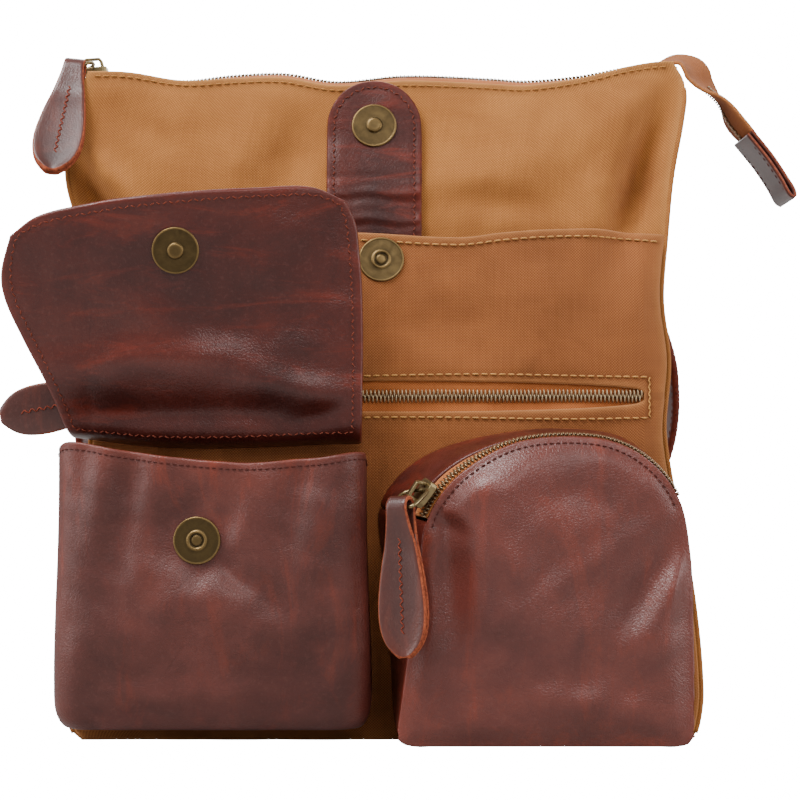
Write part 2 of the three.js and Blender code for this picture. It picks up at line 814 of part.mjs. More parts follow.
const domeCurve = (acrossName, upName) => new THREE.CatmullRomCurve3(
  domeOutline.map((row) => new THREE.Vector3(
    domeLeft + row[acrossName] * domeWidth,
    0,
    domeFoot + row[upName] * domeHeight,
  )),
  false,
  'centripetal',
);
const domeEdge = domeCurve('across', 'up');
const domeSeat = domeCurve('rearAcross', 'rearUp');
const outlineSteps = domeOutline.length - 1;
const archStart = archFrom / outlineSteps;
const archEnd = archTo / outlineSteps;

// Front of the dome pocket: a soft plane that crowns in its middle.
function domeFrontAt(x, z) {
  const across = clamp((2 * (x - domeLeft)) / domeWidth - 1, -1, 1);
  const up = clamp((z - domeFoot) / domeHeight, 0, 1);
  const crown = domeCrown * (1 - across ** 2) * (1 - (2 * up - 1) ** 4);
  const rear = patchAt(domeLeft + domeWidth / 2, domeFoot + domeHeight / 3);
  return rear - domeDepth - crown - domeBatter * (1 - up);
}

const partOf = (curve, from, to) => {
  const points = evenShares(16).map((share) => curve.getPoint(mix(from, to, share)));
  return new THREE.CatmullRomCurve3(points);
};
const turned = (curve) => new THREE.CatmullRomCurve3([...curve.getPoints(16)].reverse());
const domeFootRight = domeEdge.getPoint(1);
const domeFootLeft = domeEdge.getPoint(0);
const footDrop = 0.05 * domeHeight;
const domeBottom = new THREE.CatmullRomCurve3([
  domeFootLeft,
  new THREE.Vector3(domeFootLeft.x + footDrop * 0.25, 0, domeFoot + footDrop * 0.25),
  ...[0.06, 0.12, 0.3, 0.5, 0.7, 0.88, 0.94].map((share) => (
    new THREE.Vector3(mix(domeFootLeft.x, domeFootRight.x, share), 0, domeFoot)
  )),
  new THREE.Vector3(domeFootRight.x - footDrop * 0.25, 0, domeFoot + footDrop * 0.25),
  domeFootRight,
], false, 'centripetal');
const domePlace = fillOutline(
  domeBottom,
  partOf(domeEdge, archStart, archEnd),
  partOf(domeEdge, 0, archStart),
  turned(partOf(domeEdge, archEnd, 1)),
);
const domeFrontFace = (standOff) => (column, row) => {
  const { x, z } = domePlace(column, row);
  return new THREE.Vector3(x, domeFrontAt(x, z) + standOff, z);
};
addPiece(
  'dome_pocket_front',
  sheet(domeFrontFace(0), domeFrontFace(leatherWall), evenShares(12), evenShares(12)),
  leather,
);

// A strip round the dome between two shares of its depth, zero at the canvas and one at the front.
function domeStrip(waysFrom, waysTo, depthFrom, depthTo, inset) {
  return (column, row) => {
    const way = mix(waysFrom, waysTo, row);
    const edge = domeEdge.getPoint(way);
    const seat = domeSeat.getPoint(way);
    const tangent = domeEdge.getTangent(way);
    const inwardX = tangent.z;
    const inwardZ = -tangent.x;
    const front = domeFrontAt(edge.x, edge.z) + leatherWall + seamGap;
    const seatX = clamp(seat.x, sideLeft(seat.z), sideRight(seat.z) - seamInset);
    const rear = patchAt(seatX, seat.z) - seatGap;
    const depth = mix(depthFrom, depthTo, column);
    const x = mix(seat.x, edge.x, depth) + inwardX * inset;
    const z = mix(seat.z, edge.z, depth) + inwardZ * inset;
    return new THREE.Vector3(x, mix(rear, front, depth), z);
  };
}

const chainShare = chainWidth / domeDepth;
const zipMiddle = 1 - (domeZipSetback + chainWidth / 2) / domeDepth;
const tapeShare = zipMiddle - chainShare * 1.4;
const bandShare = tapeShare - (2 * seamGap) / domeDepth;
const archMargin = seamGap / domeHeight;
const tapeSink = 0.4;

const domeBand = (depthTo, from, to, outset) => sheet(
  domeStrip(from, to, 0, depthTo, outset),
  domeStrip(from, to, 0, depthTo, outset + leatherWall),
  evenShares(3),
  evenShares(22),
);
addPiece('dome_pocket_top_band', domeBand(bandShare, archStart + archMargin, archEnd - archMargin, 0), leather);
addPiece(
  'dome_zip_tape',
  sheet(
    domeStrip(archStart + archMargin, archEnd - archMargin, tapeShare, 1, tapeSink),
    domeStrip(archStart + archMargin, archEnd - archMargin, tapeShare, 1, tapeSink + tapeWall),
    evenShares(2),
    evenShares(22),
  ),
  tape,
);
addPiece(
  'dome_zip_chain',
  sheet(
    domeStrip(
      archStart + archMargin, archEnd - archMargin,
      zipMiddle - chainShare / 2, zipMiddle + chainShare / 2, tapeSink - seamGap - chainHeight,
    ),
    domeStrip(
      archStart + archMargin, archEnd - archMargin,
      zipMiddle - chainShare / 2, zipMiddle + chainShare / 2, tapeSink - seamGap,
    ),
    [0, 1],
    evenShares(22),
  ),
  brass,
);

// Side and bottom gusset: from the arch's left end down, under the pocket and up to its right end.
const gussetWays = [
  ...evenShares(6).map((share) => ({ curve: 'left', share: mix(archStart - archMargin, 0, share) })),
  ...[0.05, 0.15, 0.32, 0.5, 0.68, 0.85, 0.95].map((share) => ({ curve: 'bottom', share })),
  ...evenShares(6).map((share) => ({ curve: 'right', share: mix(1, archEnd + archMargin, share) })),
];
const domeFlank = (inset) => (column, row) => {
  const { curve, share } = gussetWays[Math.round(row * (gussetWays.length - 1))];
  if (curve !== 'bottom') {
    return domeStrip(share, share, 0, 1, inset)(column, 0);
  }
  const left = domeStrip(0, 0, 0, 1, inset)(column, 0);
  const right = domeStrip(1, 1, 0, 1, inset)(column, 0);
  const point = left.lerp(right, share);
  point.z = domeFoot + inset;
  const front = domeFrontAt(point.x, domeFoot) + leatherWall + seamGap;
  const rear = patchAt(point.x, Math.max(point.z, 1)) - seatGap;
  point.y = mix(rear, front, column);
  return point;
};
addPiece(
  'dome_pocket_gusset',
  sheet(domeFlank(0), domeFlank(leatherWall), evenShares(5), evenShares(gussetWays.length - 1)),
  leather,
);

// Snaps: a round plate with a raised rim, a stud on one half and a hole in the other

const snapRadius = snapDiameter / 2;
const studProfile = [
  [0, 0], [1, 0], [1, 0.3], [0.93, 0.42], [0.86, 0.32], [0.45, 0.3], [0.42, 0.85], [0.34, 1], [0, 1],
];
const socketProfile = [
  [0, 0], [1, 0], [1, 0.3], [0.93, 0.42], [0.86, 0.36], [0.5, 0.36], [0.44, 0.75], [0.3, 0.75], [0.26, 0.3], [0, 0.3],
];

function addSnap(name, profile, x, z, depthAt) {
  const points = profile.map(([out, rise]) => new THREE.Vector2(out * snapRadius, rise * snapHeight));
  const plate = addPiece(name, facingOut(new THREE.LatheGeometry(points, 14).toNonIndexed()), brass);
  const slopeX = (depthAt(x + 4, z) - depthAt(x - 4, z)) / 8;
  const slopeZ = (depthAt(x, z + 4) - depthAt(x, z - 4)) / 8;
  const outward = new THREE.Vector3(slopeX, -1, slopeZ).normalize();
  plate.quaternion.setFromUnitVectors(new THREE.Vector3(0, 1, 0), outward);
  plate.position.set(x, depthAt(x, z), z).addScaledVector(outward, seamGap);
}

const boxGrowth = curveOf(boxSections.slice(3), 'up', 'depth');
const boxFrontAt = (x, z) => patchAt(x, z) - seatGap - boxDepth * boxGrowth((z - boxFoot) / (boxHeight * 0.96));
addSnap('tab_snap_stud', studProfile, tabMiddle, tabSnapHeight, (x, z) => frontAt(x, z) - seamGap - tabWall);
addSnap('pocket_snap_socket', socketProfile, tabMiddle + 3, patchSnapHeight, patchAt);
addSnap('left_pocket_snap_socket', socketProfile, boxSnapAcross, boxSnapHeight, boxFrontAt);
addSnap('flap_snap_stud', studProfile, flapSnapAcross, flapSnapHeight, (x, z) => flapAt(x, z) - flapWall);

// Zip sliders, rings and pullers

// A slider lies along X with its back on the chain and its bridge towards -Y.
function sliderGeometry() {
  const half = sliderLength / 2;
  const wide = sliderWidth / 2;
  const plateShape = new THREE.Shape([
    new THREE.Vector2(-half, -wide * 0.72),
    new THREE.Vector2(half * 0.2, -wide),
    new THREE.Vector2(half, -wide * 0.8),
    new THREE.Vector2(half, wide * 0.8),
    new THREE.Vector2(half * 0.2, wide),
    new THREE.Vector2(-half, wide * 0.72),
  ]);
  const plate = new THREE.ExtrudeGeometry(plateShape, { depth: sliderHeight, bevelEnabled: false });
  plate.rotateX(Math.PI / 2);
  const root = -0.4;
  const archShape = new THREE.Shape([
    new THREE.Vector2(-half * 0.8, root),
    new THREE.Vector2(-half * 0.55, root),
    new THREE.Vector2(-half * 0.5, bridgeClear),
    new THREE.Vector2(half * 0.4, bridgeClear),
    new THREE.Vector2(half * 0.55, root),
    new THREE.Vector2(half * 0.8, root),
    new THREE.Vector2(half * 0.55, bridgeClear + bridgeRail),
    new THREE.Vector2(-half * 0.75, bridgeClear + bridgeRail),
  ]);
  const arch = new THREE.ExtrudeGeometry(archShape, { depth: bridgeWidth, bevelEnabled: false });
  arch.translate(0, sliderHeight, -bridgeWidth / 2);
  arch.rotateX(Math.PI);
  return joined(plate, arch);
}

// A wire loop that hangs from its own origin: round there, with a straight bar at its foot.
function wireLoop() {
  const half = ringWidth / 2;
  const corners = [
    [0, 0], [0.6, -0.03], [0.93, -0.13], [1, -0.3], [1, -0.85], [0.85, -1],
    [-0.85, -1], [-1, -0.85], [-1, -0.3], [-0.93, -0.13], [-0.6, -0.03],
  ];
  const points = corners.map(([out, down]) => new THREE.Vector3(out * half, 0, down * ringLength));
  const course = new THREE.CatmullRomCurve3(points, true, 'centripetal');
  const level = new THREE.Vector3(0, 1, 0);
  const face = (way, turn) => {
    const outward = course.getTangent(way).cross(level).normalize();
    const angle = turn * 2 * Math.PI;
    return course.getPoint(way)
      .addScaledVector(outward, (ringWire / 2) * Math.cos(angle))
      .addScaledVector(level, (ringWire / 2) * Math.sin(angle));
  };
  const positions = [];
  const steps = 20;
  const sidesRound = 6;
  for (let step = 0; step < steps; step += 1) {
    for (let side = 0; side < sidesRound; side += 1) {
      const a = face(step / steps, side / sidesRound);
      const b = face(((step + 1) % steps) / steps, side / sidesRound);
      const c = face(((step + 1) % steps) / steps, ((side + 1) % sidesRound) / sidesRound);
      const d = face(step / steps, ((side + 1) % sidesRound) / sidesRound);
      for (const corner of [a, b, c, a, c, d]) {
        positions.push(corner.x, corner.y, corner.z);
      }
    }
  }
  const geometry = new THREE.BufferGeometry();
  geometry.setAttribute('position', new THREE.Float32BufferAttribute(positions, 3));
  return facingOut(geometry);
}

// A puller hangs down from its fold, which goes round the ring's bar at its own origin.
function pullerGeometry() {
  const wideAt = curveOf(pullerOutline, 'down', 'wide');
  const halfWall = leatherWall / 2;
  const fold = pullerEye + halfWall;
  const rest = halfWall + seamGap / 2;
  const downs = [1, 0.92, 0.8, 0.62, 0.42, 0.24];
  const points = downs.map((down) => new THREE.Vector3(0, -rest, -down * pullerLength));
  points.push(new THREE.Vector3(0, -mix(rest, fold, 0.6), -0.1 * pullerLength));
  for (const turn of evenShares(4)) {
    const angle = Math.PI * turn;
    points.push(new THREE.Vector3(0, -fold * Math.cos(angle), fold * Math.sin(angle)));
  }
  points.push(new THREE.Vector3(0, mix(rest, fold, 0.6), -0.1 * pullerLength));
  for (const down of [...downs].reverse()) {
    points.push(new THREE.Vector3(0, rest, -down * pullerLength));
  }
  const course = new THREE.CatmullRomCurve3(points, false, 'centripetal');
  const steps = points.length - 1;
  const face = (side) => (column, row) => {
    const index = Math.round(row * steps);
    const middle = points[index].clone();
    const tangent = course.getTangent(index / steps);
    const normal = new THREE.Vector3(0, -tangent.z, tangent.y).normalize();
    const wide = pullerWidth * wideAt(clamp(-middle.z / pullerLength, 0, 1));
    middle.addScaledVector(normal, side * halfWall);
    middle.x = (column - 0.5) * wide;
    return middle;
  };
  return sheet(face(1), face(-1), evenShares(2), evenShares(steps));
}

const sliderShape = sliderGeometry();
const ringShape = wireLoop();
const pullerShape = pullerGeometry();
const degrees = THREE.MathUtils.degToRad;
const barGrip = { out: 0, down: 1, slip: 0 };

// The turn that takes X to one direction and -Z as near as it can be to another.
function hanging(bar, down) {
  const x = bar.clone().normalize();
  const y = down.clone().negate().cross(x).normalize();
  const z = x.clone().cross(y);
  return new THREE.Quaternion().setFromRotationMatrix(new THREE.Matrix4().makeBasis(x, y, z));
}

// Adds a slider, the wire loop through its bridge and the leather puller on the loop. The puller's fold
// lies on the loop's bar, or where grip says so, as shares of half the loop's width and of its length.
// The loop is slid sideways through the bridge by the share slip.
function addZipPull(zip, place, along, outward, bar, ringDown, fold, pullerDown, grip = barGrip) {
  const x = along.clone().normalize();
  const z = outward.clone().cross(x).normalize();
  const y = z.clone().cross(x);
  const slider = addPiece(`${zip}_zip_slider`, sliderShape, brass);
  slider.quaternion.setFromRotationMatrix(new THREE.Matrix4().makeBasis(x, y, z));
  slider.position.copy(place);
  const bridge = place.clone().addScaledVector(y, -(sliderHeight + bridgeClear / 2));
  const ring = addPiece(`${zip}_pull_ring`, ringShape, brass);
  ring.quaternion.copy(hanging(bar, ringDown));
  ring.position.copy(bridge).addScaledVector(bar.clone().normalize(), (grip.slip * ringWidth) / 2);
  const foot = new THREE.Vector3((grip.out * ringWidth) / 2, 0, -grip.down * ringLength)
    .applyQuaternion(ring.quaternion)
    .add(ring.position);
  const puller = addPiece(`${zip}_puller`, pullerShape, leather);
  puller.quaternion.copy(hanging(fold, pullerDown));
  puller.position.copy(foot);
}

// Where a slider's back lies on a strip: its place, the way along and the way out.
function seatOn(strip, column, row, reach) {
  const before = strip(column, row - reach);
  const after = strip(column, row + reach);
  const low = strip(Math.max(column - 0.4, 0), row);
  const high = strip(Math.min(column + 0.4, 1), row);
  const along = after.clone().sub(before).normalize();
  const outward = high.sub(low).cross(along).normalize();
  return { middle: strip(column, row), along, outward };
}

const frontChainRow = slitStrip(chainWidth / 2, -1, tapeFace - seamGap - chainHeight);
const frontSliderShare = (sliderLength / 2 + 2) / (slitRight - slitLeft);
const frontSeat = seatOn((column, row) => frontChainRow(row, 1 - column), 0.5, frontSliderShare, 0.028);
addZipPull(
  'front',
  frontSeat.middle.addScaledVector(frontSeat.outward, 2 * seamGap),
  frontSeat.along,
  frontSeat.outward,
  new THREE.Vector3(0.14, 0, 1),
  new THREE.Vector3(-1, 0.02, 0.14),
  new THREE.Vector3(-0.18, 0, 0.98),
  new THREE.Vector3(-0.97, 0.14, -0.18),
);

const domeChainRow = domeStrip(
  archStart, archEnd,
  zipMiddle - chainShare / 2, zipMiddle + chainShare / 2, tapeSink - seamGap - chainHeight,
);
const domeSeatPlace = seatOn(domeChainRow, 0.5, 0.075, 0.035);
addZipPull(
  'dome',
  domeSeatPlace.middle.addScaledVector(domeSeatPlace.outward, 2 * seamGap + 0.3),
  domeSeatPlace.along,
  domeSeatPlace.outward,
  new THREE.Vector3(0.8, -0.6, 0.1),
  new THREE.Vector3(-0.5, -0.6, -0.42),
  new THREE.Vector3(0.88, -0.46, 0.05),
  new THREE.Vector3(0.04, -0.04, -1),
);

const topSliderShare = sliderLength / 2 / (zipRight - zipLeft);
const topSeat = seatOn((column, row) => topChain(seamGap + chainHeight)(1 - column, row), 0.5, topSliderShare, 0.022);
addZipPull(
  'top',
  topSeat.middle.addScaledVector(topSeat.outward, 2 * seamGap).addScaledVector(topSeat.along, -4),
  topSeat.along,
  topSeat.outward,
  new THREE.Vector3(0, -1, 0),
  new THREE.Vector3(-0.99, 0, 0.14),
  new THREE.Vector3(0.99, 0, -0.1),
  new THREE.Vector3(0.03, -0.57, -0.82),
  { out: 1, down: 0.57, slip: 0.5 },
);

// Free end of the top zip, with the leather folded round its end

const cornerX = sideRight(bodyHeight);
const tailPoint = (row) => new THREE.Vector3(
  cornerX + row.across * bodyHeight,
  0,
  topAt(cornerX) + row.up * bodyHeight,
);
const tailLine = new THREE.CatmullRomCurve3(tailCourse.map(tailPoint), false, 'centripetal');
const tailRows = tailCourse.map((row, index) => ({ ...row, way: index / (tailCourse.length - 1) }));
const tailTurn = curveOf(tailRows, 'way', 'turn');
const tailWide = curveOf(tailRows, 'way', 'wide');

// The width of a band that is turned about its own course, level where the turn is nothing.
function turnedWidth(course, share, degreesTurned) {
  const tangent = course.getTangentAt(share);
  const level = new THREE.Vector3(0, 1, 0);
  return level.applyAxisAngle(tangent, degrees(degreesTurned)).normalize();
}

addPiece(
  'zip_tail',
  band(
    tailLine,
    (share) => turnedWidth(tailLine, share, tailTurn(share)),
    (share) => tailWidth * tailWide(share),
    2 * tapeWall,
    14,
    3,
  ),
  canvas,
);

const tailTip = tailLine.getPointAt(1);
const tailAim = tailLine.getTangentAt(1);
const endTabLine = new THREE.CatmullRomCurve3([
  tailTip.clone().addScaledVector(tailAim, seamGap),
  tailTip.clone().addScaledVector(tailAim, endTabLength * 0.5).add(new THREE.Vector3(-0.5, 0, -1)),
  tailTip.clone().addScaledVector(tailAim, endTabLength * 0.95).add(new THREE.Vector3(-2, 0, -3)),
]);
addPiece(
  'tail_end_tab',
  band(endTabLine, (share) => turnedWidth(endTabLine, share, 12), () => endTabWidth, 2 * leatherWall, 5, 2),
  leather,
);

// Shoulder strap, hanging in a loop behind the bag

// Where the strap lies on the gusset, which is pinched less at the strap's edges than in its middle.
function strapSeat(side, z) {
  const reach = clamp(strapWidth / 2 / (halfDepth(z) - canvasWall), 0, 1);
  const rim = side < 0 ? -sideLeft(z) : sideRight(z);
  return side * (rim - pinchAt(reach, z) + 2 * seatGap + strapWall / 2);
}

const strapLine = new THREE.CatmullRomCurve3(
  strapCourse.map((row) => {
    const z = row.up * bodyHeight;
    const x = row.side ? strapSeat(row.side, z) : row.across * halfWidth;
    return new THREE.Vector3(x, (row.back * bodyDepth) / 2, z);
  }),
  false,
  'centripetal',
);
addPiece(
  'shoulder_strap',
  band(strapLine, () => new THREE.Vector3(0, 1, 0), () => strapWidth, strapWall, 44, 2),
  leather,
);

export default bag;
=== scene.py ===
# A canvas shoulder bag with leather pockets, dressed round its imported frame.

import logging
import math
from dataclasses import dataclass, replace
from enum import Enum
from typing import Callable, Optional, Sequence

import bpy
import numpy as np
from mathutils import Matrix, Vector


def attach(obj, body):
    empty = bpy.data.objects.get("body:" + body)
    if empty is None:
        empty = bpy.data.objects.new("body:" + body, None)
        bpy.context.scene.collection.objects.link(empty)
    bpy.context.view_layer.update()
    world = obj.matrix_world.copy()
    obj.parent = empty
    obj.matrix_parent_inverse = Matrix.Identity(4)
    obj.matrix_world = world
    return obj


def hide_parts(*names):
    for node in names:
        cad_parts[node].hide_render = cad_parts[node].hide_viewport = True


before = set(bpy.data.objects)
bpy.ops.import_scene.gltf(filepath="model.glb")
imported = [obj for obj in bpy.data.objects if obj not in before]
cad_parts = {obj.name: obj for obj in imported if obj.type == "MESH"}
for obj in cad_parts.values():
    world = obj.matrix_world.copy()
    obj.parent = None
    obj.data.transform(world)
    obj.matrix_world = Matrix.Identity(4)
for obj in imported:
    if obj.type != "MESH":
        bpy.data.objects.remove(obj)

LOG = logging.getLogger("shoulder_bag")
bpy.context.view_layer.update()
MM = 0.001
Array = np.ndarray
Line = Callable[[Array], Array]
Place = Callable[[Array, Array], Array]
Ground = Callable[[Array, Array], Array]
Socket = bpy.types.NodeSocket


class Side(Enum):
    """A side of the bag as the front is seen."""

    LEFT = -1
    RIGHT = 1


class SnapHalf(Enum):
    """The two halves of a magnetic snap."""

    STUD = "stud"
    SOCKET = "socket"


# Lines and surfaces


def smooth(share: Array) -> Array:
    """Eases a share from nothing to one."""
    share = np.clip(share, 0.0, 1.0)
    return share * share * (3.0 - 2.0 * share)


def mix(start: Array, end: Array, share: Array) -> Array:
    """Goes from start to end by a share."""
    return start + (end - start) * share


def unit(vectors: Array) -> Array:
    """Makes vectors one long."""
    return vectors / np.maximum(np.linalg.norm(vectors, axis=-1, keepdims=True), 1e-9)


def spots(x: Array, y: Array, z: Array) -> Array:
    """Points from three coordinates, each an array or one number for all points."""
    return np.stack(np.broadcast_arrays(x, y, z), axis=-1)


def walked_along(points: Array) -> Array:
    """Length walked along a line of points, at each of them."""
    return np.concatenate([[0.0], np.cumsum(np.linalg.norm(np.diff(points, axis=0), axis=1))])


def read_at(keys: Array, values: Array, at: Array) -> Array:
    """Reads vectors between the keys at which they are given."""
    return np.stack([np.interp(at, keys, values[:, axis]) for axis in range(3)], axis=-1)


def turns_round(count: int) -> Array:
    """Even turns of one whole round, in radians."""
    return np.arange(count) / count * 2 * math.pi


class SmoothTable:
    """A smooth curve through the rows of a table of places and values."""

    def __init__(self, rows: Sequence[tuple[float, float]]) -> None:
        """Fits the curve.

        Args:
            rows: a place and a value each, in rising order of place.
        """
        self.keys = np.array([row[0] for row in rows], float)
        self.values = np.array([row[1] for row in rows], float)
        before = np.maximum(np.arange(len(rows)) - 1, 0)
        after = np.minimum(np.arange(len(rows)) + 1, len(rows) - 1)
        self.slopes = (self.values[after] - self.values[before]) / (self.keys[after] - self.keys[before])

    def __call__(self, at: Array) -> Array:
        """Reads the curve.

        Args:
            at: the places.

        Returns:
            The values there.
        """
        keys, values = self.keys, self.values
        place = np.clip(np.asarray(at, float), keys[0], keys[-1])
        index = np.clip(np.searchsorted(keys, place, side="left") - 1, 0, len(keys) - 2)
        span = keys[index + 1] - keys[index]
        share = (place - keys[index]) / span
        leave = share * (1 - share) ** 2 * span * self.slopes[index]
        arrive = share**2 * (1 - share) * span * self.slopes[index + 1]
        return mix(values[index], values[index + 1], smooth(share)) + leave - arrive


class SmoothPath:
    """A smooth line through points, read by its points' numbers or by its length."""

    def __init__(self, points: Sequence[Sequence[float]], closed: bool = False, samples: int = 24) -> None:
        """Fits the line.

        Args:
            points: the points, in millimetres.
            closed: whether the line runs back to its start.
            samples: how many places each span is cut into.
        """
        given = np.asarray(points, float)
        count = len(given)
        self.spans = count if closed else count - 1
        places = []
        share = np.linspace(0, 1, samples, endpoint=False)[:, None]
        for span in range(self.spans):
            p1, p2 = given[span], given[(span + 1) % count]
            p0 = given[span - 1] if closed or span > 0 else 2 * given[0] - given[1]
            p3 = given[(span + 2) % count] if closed or span + 2 < count else 2 * given[-1] - given[-2]
            pairs = ((p0, p1), (p1, p2), (p2, p3))
            d0, d1, d2 = (max(float(np.sum((b - a) ** 2)) ** 0.25, 1e-3) for a, b in pairs)
            t1 = ((p1 - p0) / d0 - (p2 - p0) / (d0 + d1) + (p2 - p1) / d1) * d1
            t2 = ((p2 - p1) / d1 - (p3 - p1) / (d1 + d2) + (p3 - p2) / d2) * d1
            cubic = 2 * p1 - 2 * p2 + t1 + t2
            square = -3 * p1 + 3 * p2 - 2 * t1 - t2
            places.append(p1 + t1 * share + square * share**2 + cubic * share**3)
        places.append(given[:1] if closed else given[-1:])
        self.dense = np.vstack(places)
        self.walked = walked_along(self.dense)
        self.length = float(self.walked[-1])

    def numbered(self, share: Array) -> Array:
        """Points at shares of the way by point number."""
        return read_at(np.linspace(0, 1, len(self.dense)), self.dense, np.asarray(share, float))

    def along(self, share: Array) -> Array:
        """Points at shares of the way by length."""
        return read_at(self.walked / self.length, self.dense, np.asarray(share, float))

    def heading(self, share: Array) -> Array:
        """Unit directions of the line at shares of its length."""
        ahead, behind = (self.along(np.clip(share + step, 0, 1)) for step in (0.004, -0.004))
        return unit(ahead - behind)

    def part(self, start: float, end: float) -> "SmoothPath":
        """The stretch between two shares by point number, which may run backwards."""
        return SmoothPath(self.numbered(mix(start, end, np.linspace(0, 1, 17))))


def straight(start: Sequence[float], end: Sequence[float]) -> Line:
    """A straight line, read by shares of its length."""
    first, last = np.asarray(start, float), np.asarray(end, float)
    return lambda share: first + (last - first) * np.asarray(share, float)[..., None]


def filled(lower: Line, upper: Line, left: Line, right: Line) -> Place:
    """Fills an outline of four lines.

    Args:
        lower: the lower line, from left to right.
        upper: the upper line, from left to right.
        left: the left line, upwards.
        right: the right line, upwards.

    Returns:
        A function of the shares across and up that gives points.
    """

    def place(across: Array, up: Array) -> Array:
        """Points inside the outline."""
        a, u = across[..., None], up[..., None]
        ends = [line(np.array(share)) for line in (lower, upper) for share in (0.0, 1.0)]
        point = lower(across) * (1 - u) + upper(across) * u + left(up) * (1 - a) + right(up) * a
        point -= ends[0] * (1 - a) * (1 - u) + ends[1] * a * (1 - u)
        return point - ends[2] * (1 - a) * u - ends[3] * a * u

    return place


def shares(length: float, step: float, rim: float = 0.0) -> Array:
    """Even shares of a length, with closer ones by both ends where a rim is given.

    Args:
        length: the length.
        step: the usual step.
        rim: how far the closer shares reach in from each end.

    Returns:
        The shares, from nothing to one.
    """
    count = max(int(round(length / step)), 2)
    if rim <= 0:
        return np.linspace(0, 1, count + 1)
    close = np.array([0.0, 0.25, 0.6, 1.1]) * rim / length
    return np.concatenate([close, np.linspace(close[-1], 1 - close[-1], count + 1)[1:-1], 1 - close[::-1]])


class SoftNoise:
    """A soft uneven surface made of seeded waves."""

    def __init__(self, seed: int, size: float, waves: int = 14) -> None:
        """Draws the waves.

        Args:
            seed: the number that fixes the waves.
            size: the usual length of a wave, in millimetres.
            waves: how many waves are added.
        """
        draw = np.random.default_rng(seed)
        turn = draw.uniform(0, 2 * math.pi, waves)
        pace = 2 * math.pi / (size * draw.uniform(0.6, 1.7, waves))
        self.across = np.cos(turn) * pace
        self.up = np.sin(turn) * pace
        self.start = draw.uniform(0, 2 * math.pi, waves)
        self.gain = math.sqrt(2.0 / waves)

    def __call__(self, x: Array, z: Array) -> Array:
        """Height of the surface, about one at most."""
        x, z = np.asarray(x, float)[..., None], np.asarray(z, float)[..., None]
        return self.gain * np.sin(x * self.across + z * self.up + self.start).sum(-1) / 1.5


@dataclass(frozen=True)
class Fold:
    """A soft fold or dent: its middle, reach, turn in degrees and lift, in millimetres."""

    x: float
    z: float
    along: float
    wide: float
    turn: float
    lift: float

    def at(self, x: Array, z: Array) -> Array:
        """How far the fold lifts the surface.

        Args:
            x: the places across.
            z: the places up.

        Returns:
            The lift at each place.
        """
        turn = math.radians(self.turn)
        east, north = x - self.x, z - self.z
        along = (east * math.cos(turn) + north * math.sin(turn)) / self.along
        wide = (north * math.cos(turn) - east * math.sin(turn)) / self.wide
        return self.lift * np.exp(-(along**2) - wide**2)


def lift_of(folds: Sequence[Fold], x: Array, z: Array) -> Array:
    """Adds up what some folds lift."""
    return sum((fold.at(x, z) for fold in folds), np.zeros(np.broadcast(x, z).shape))


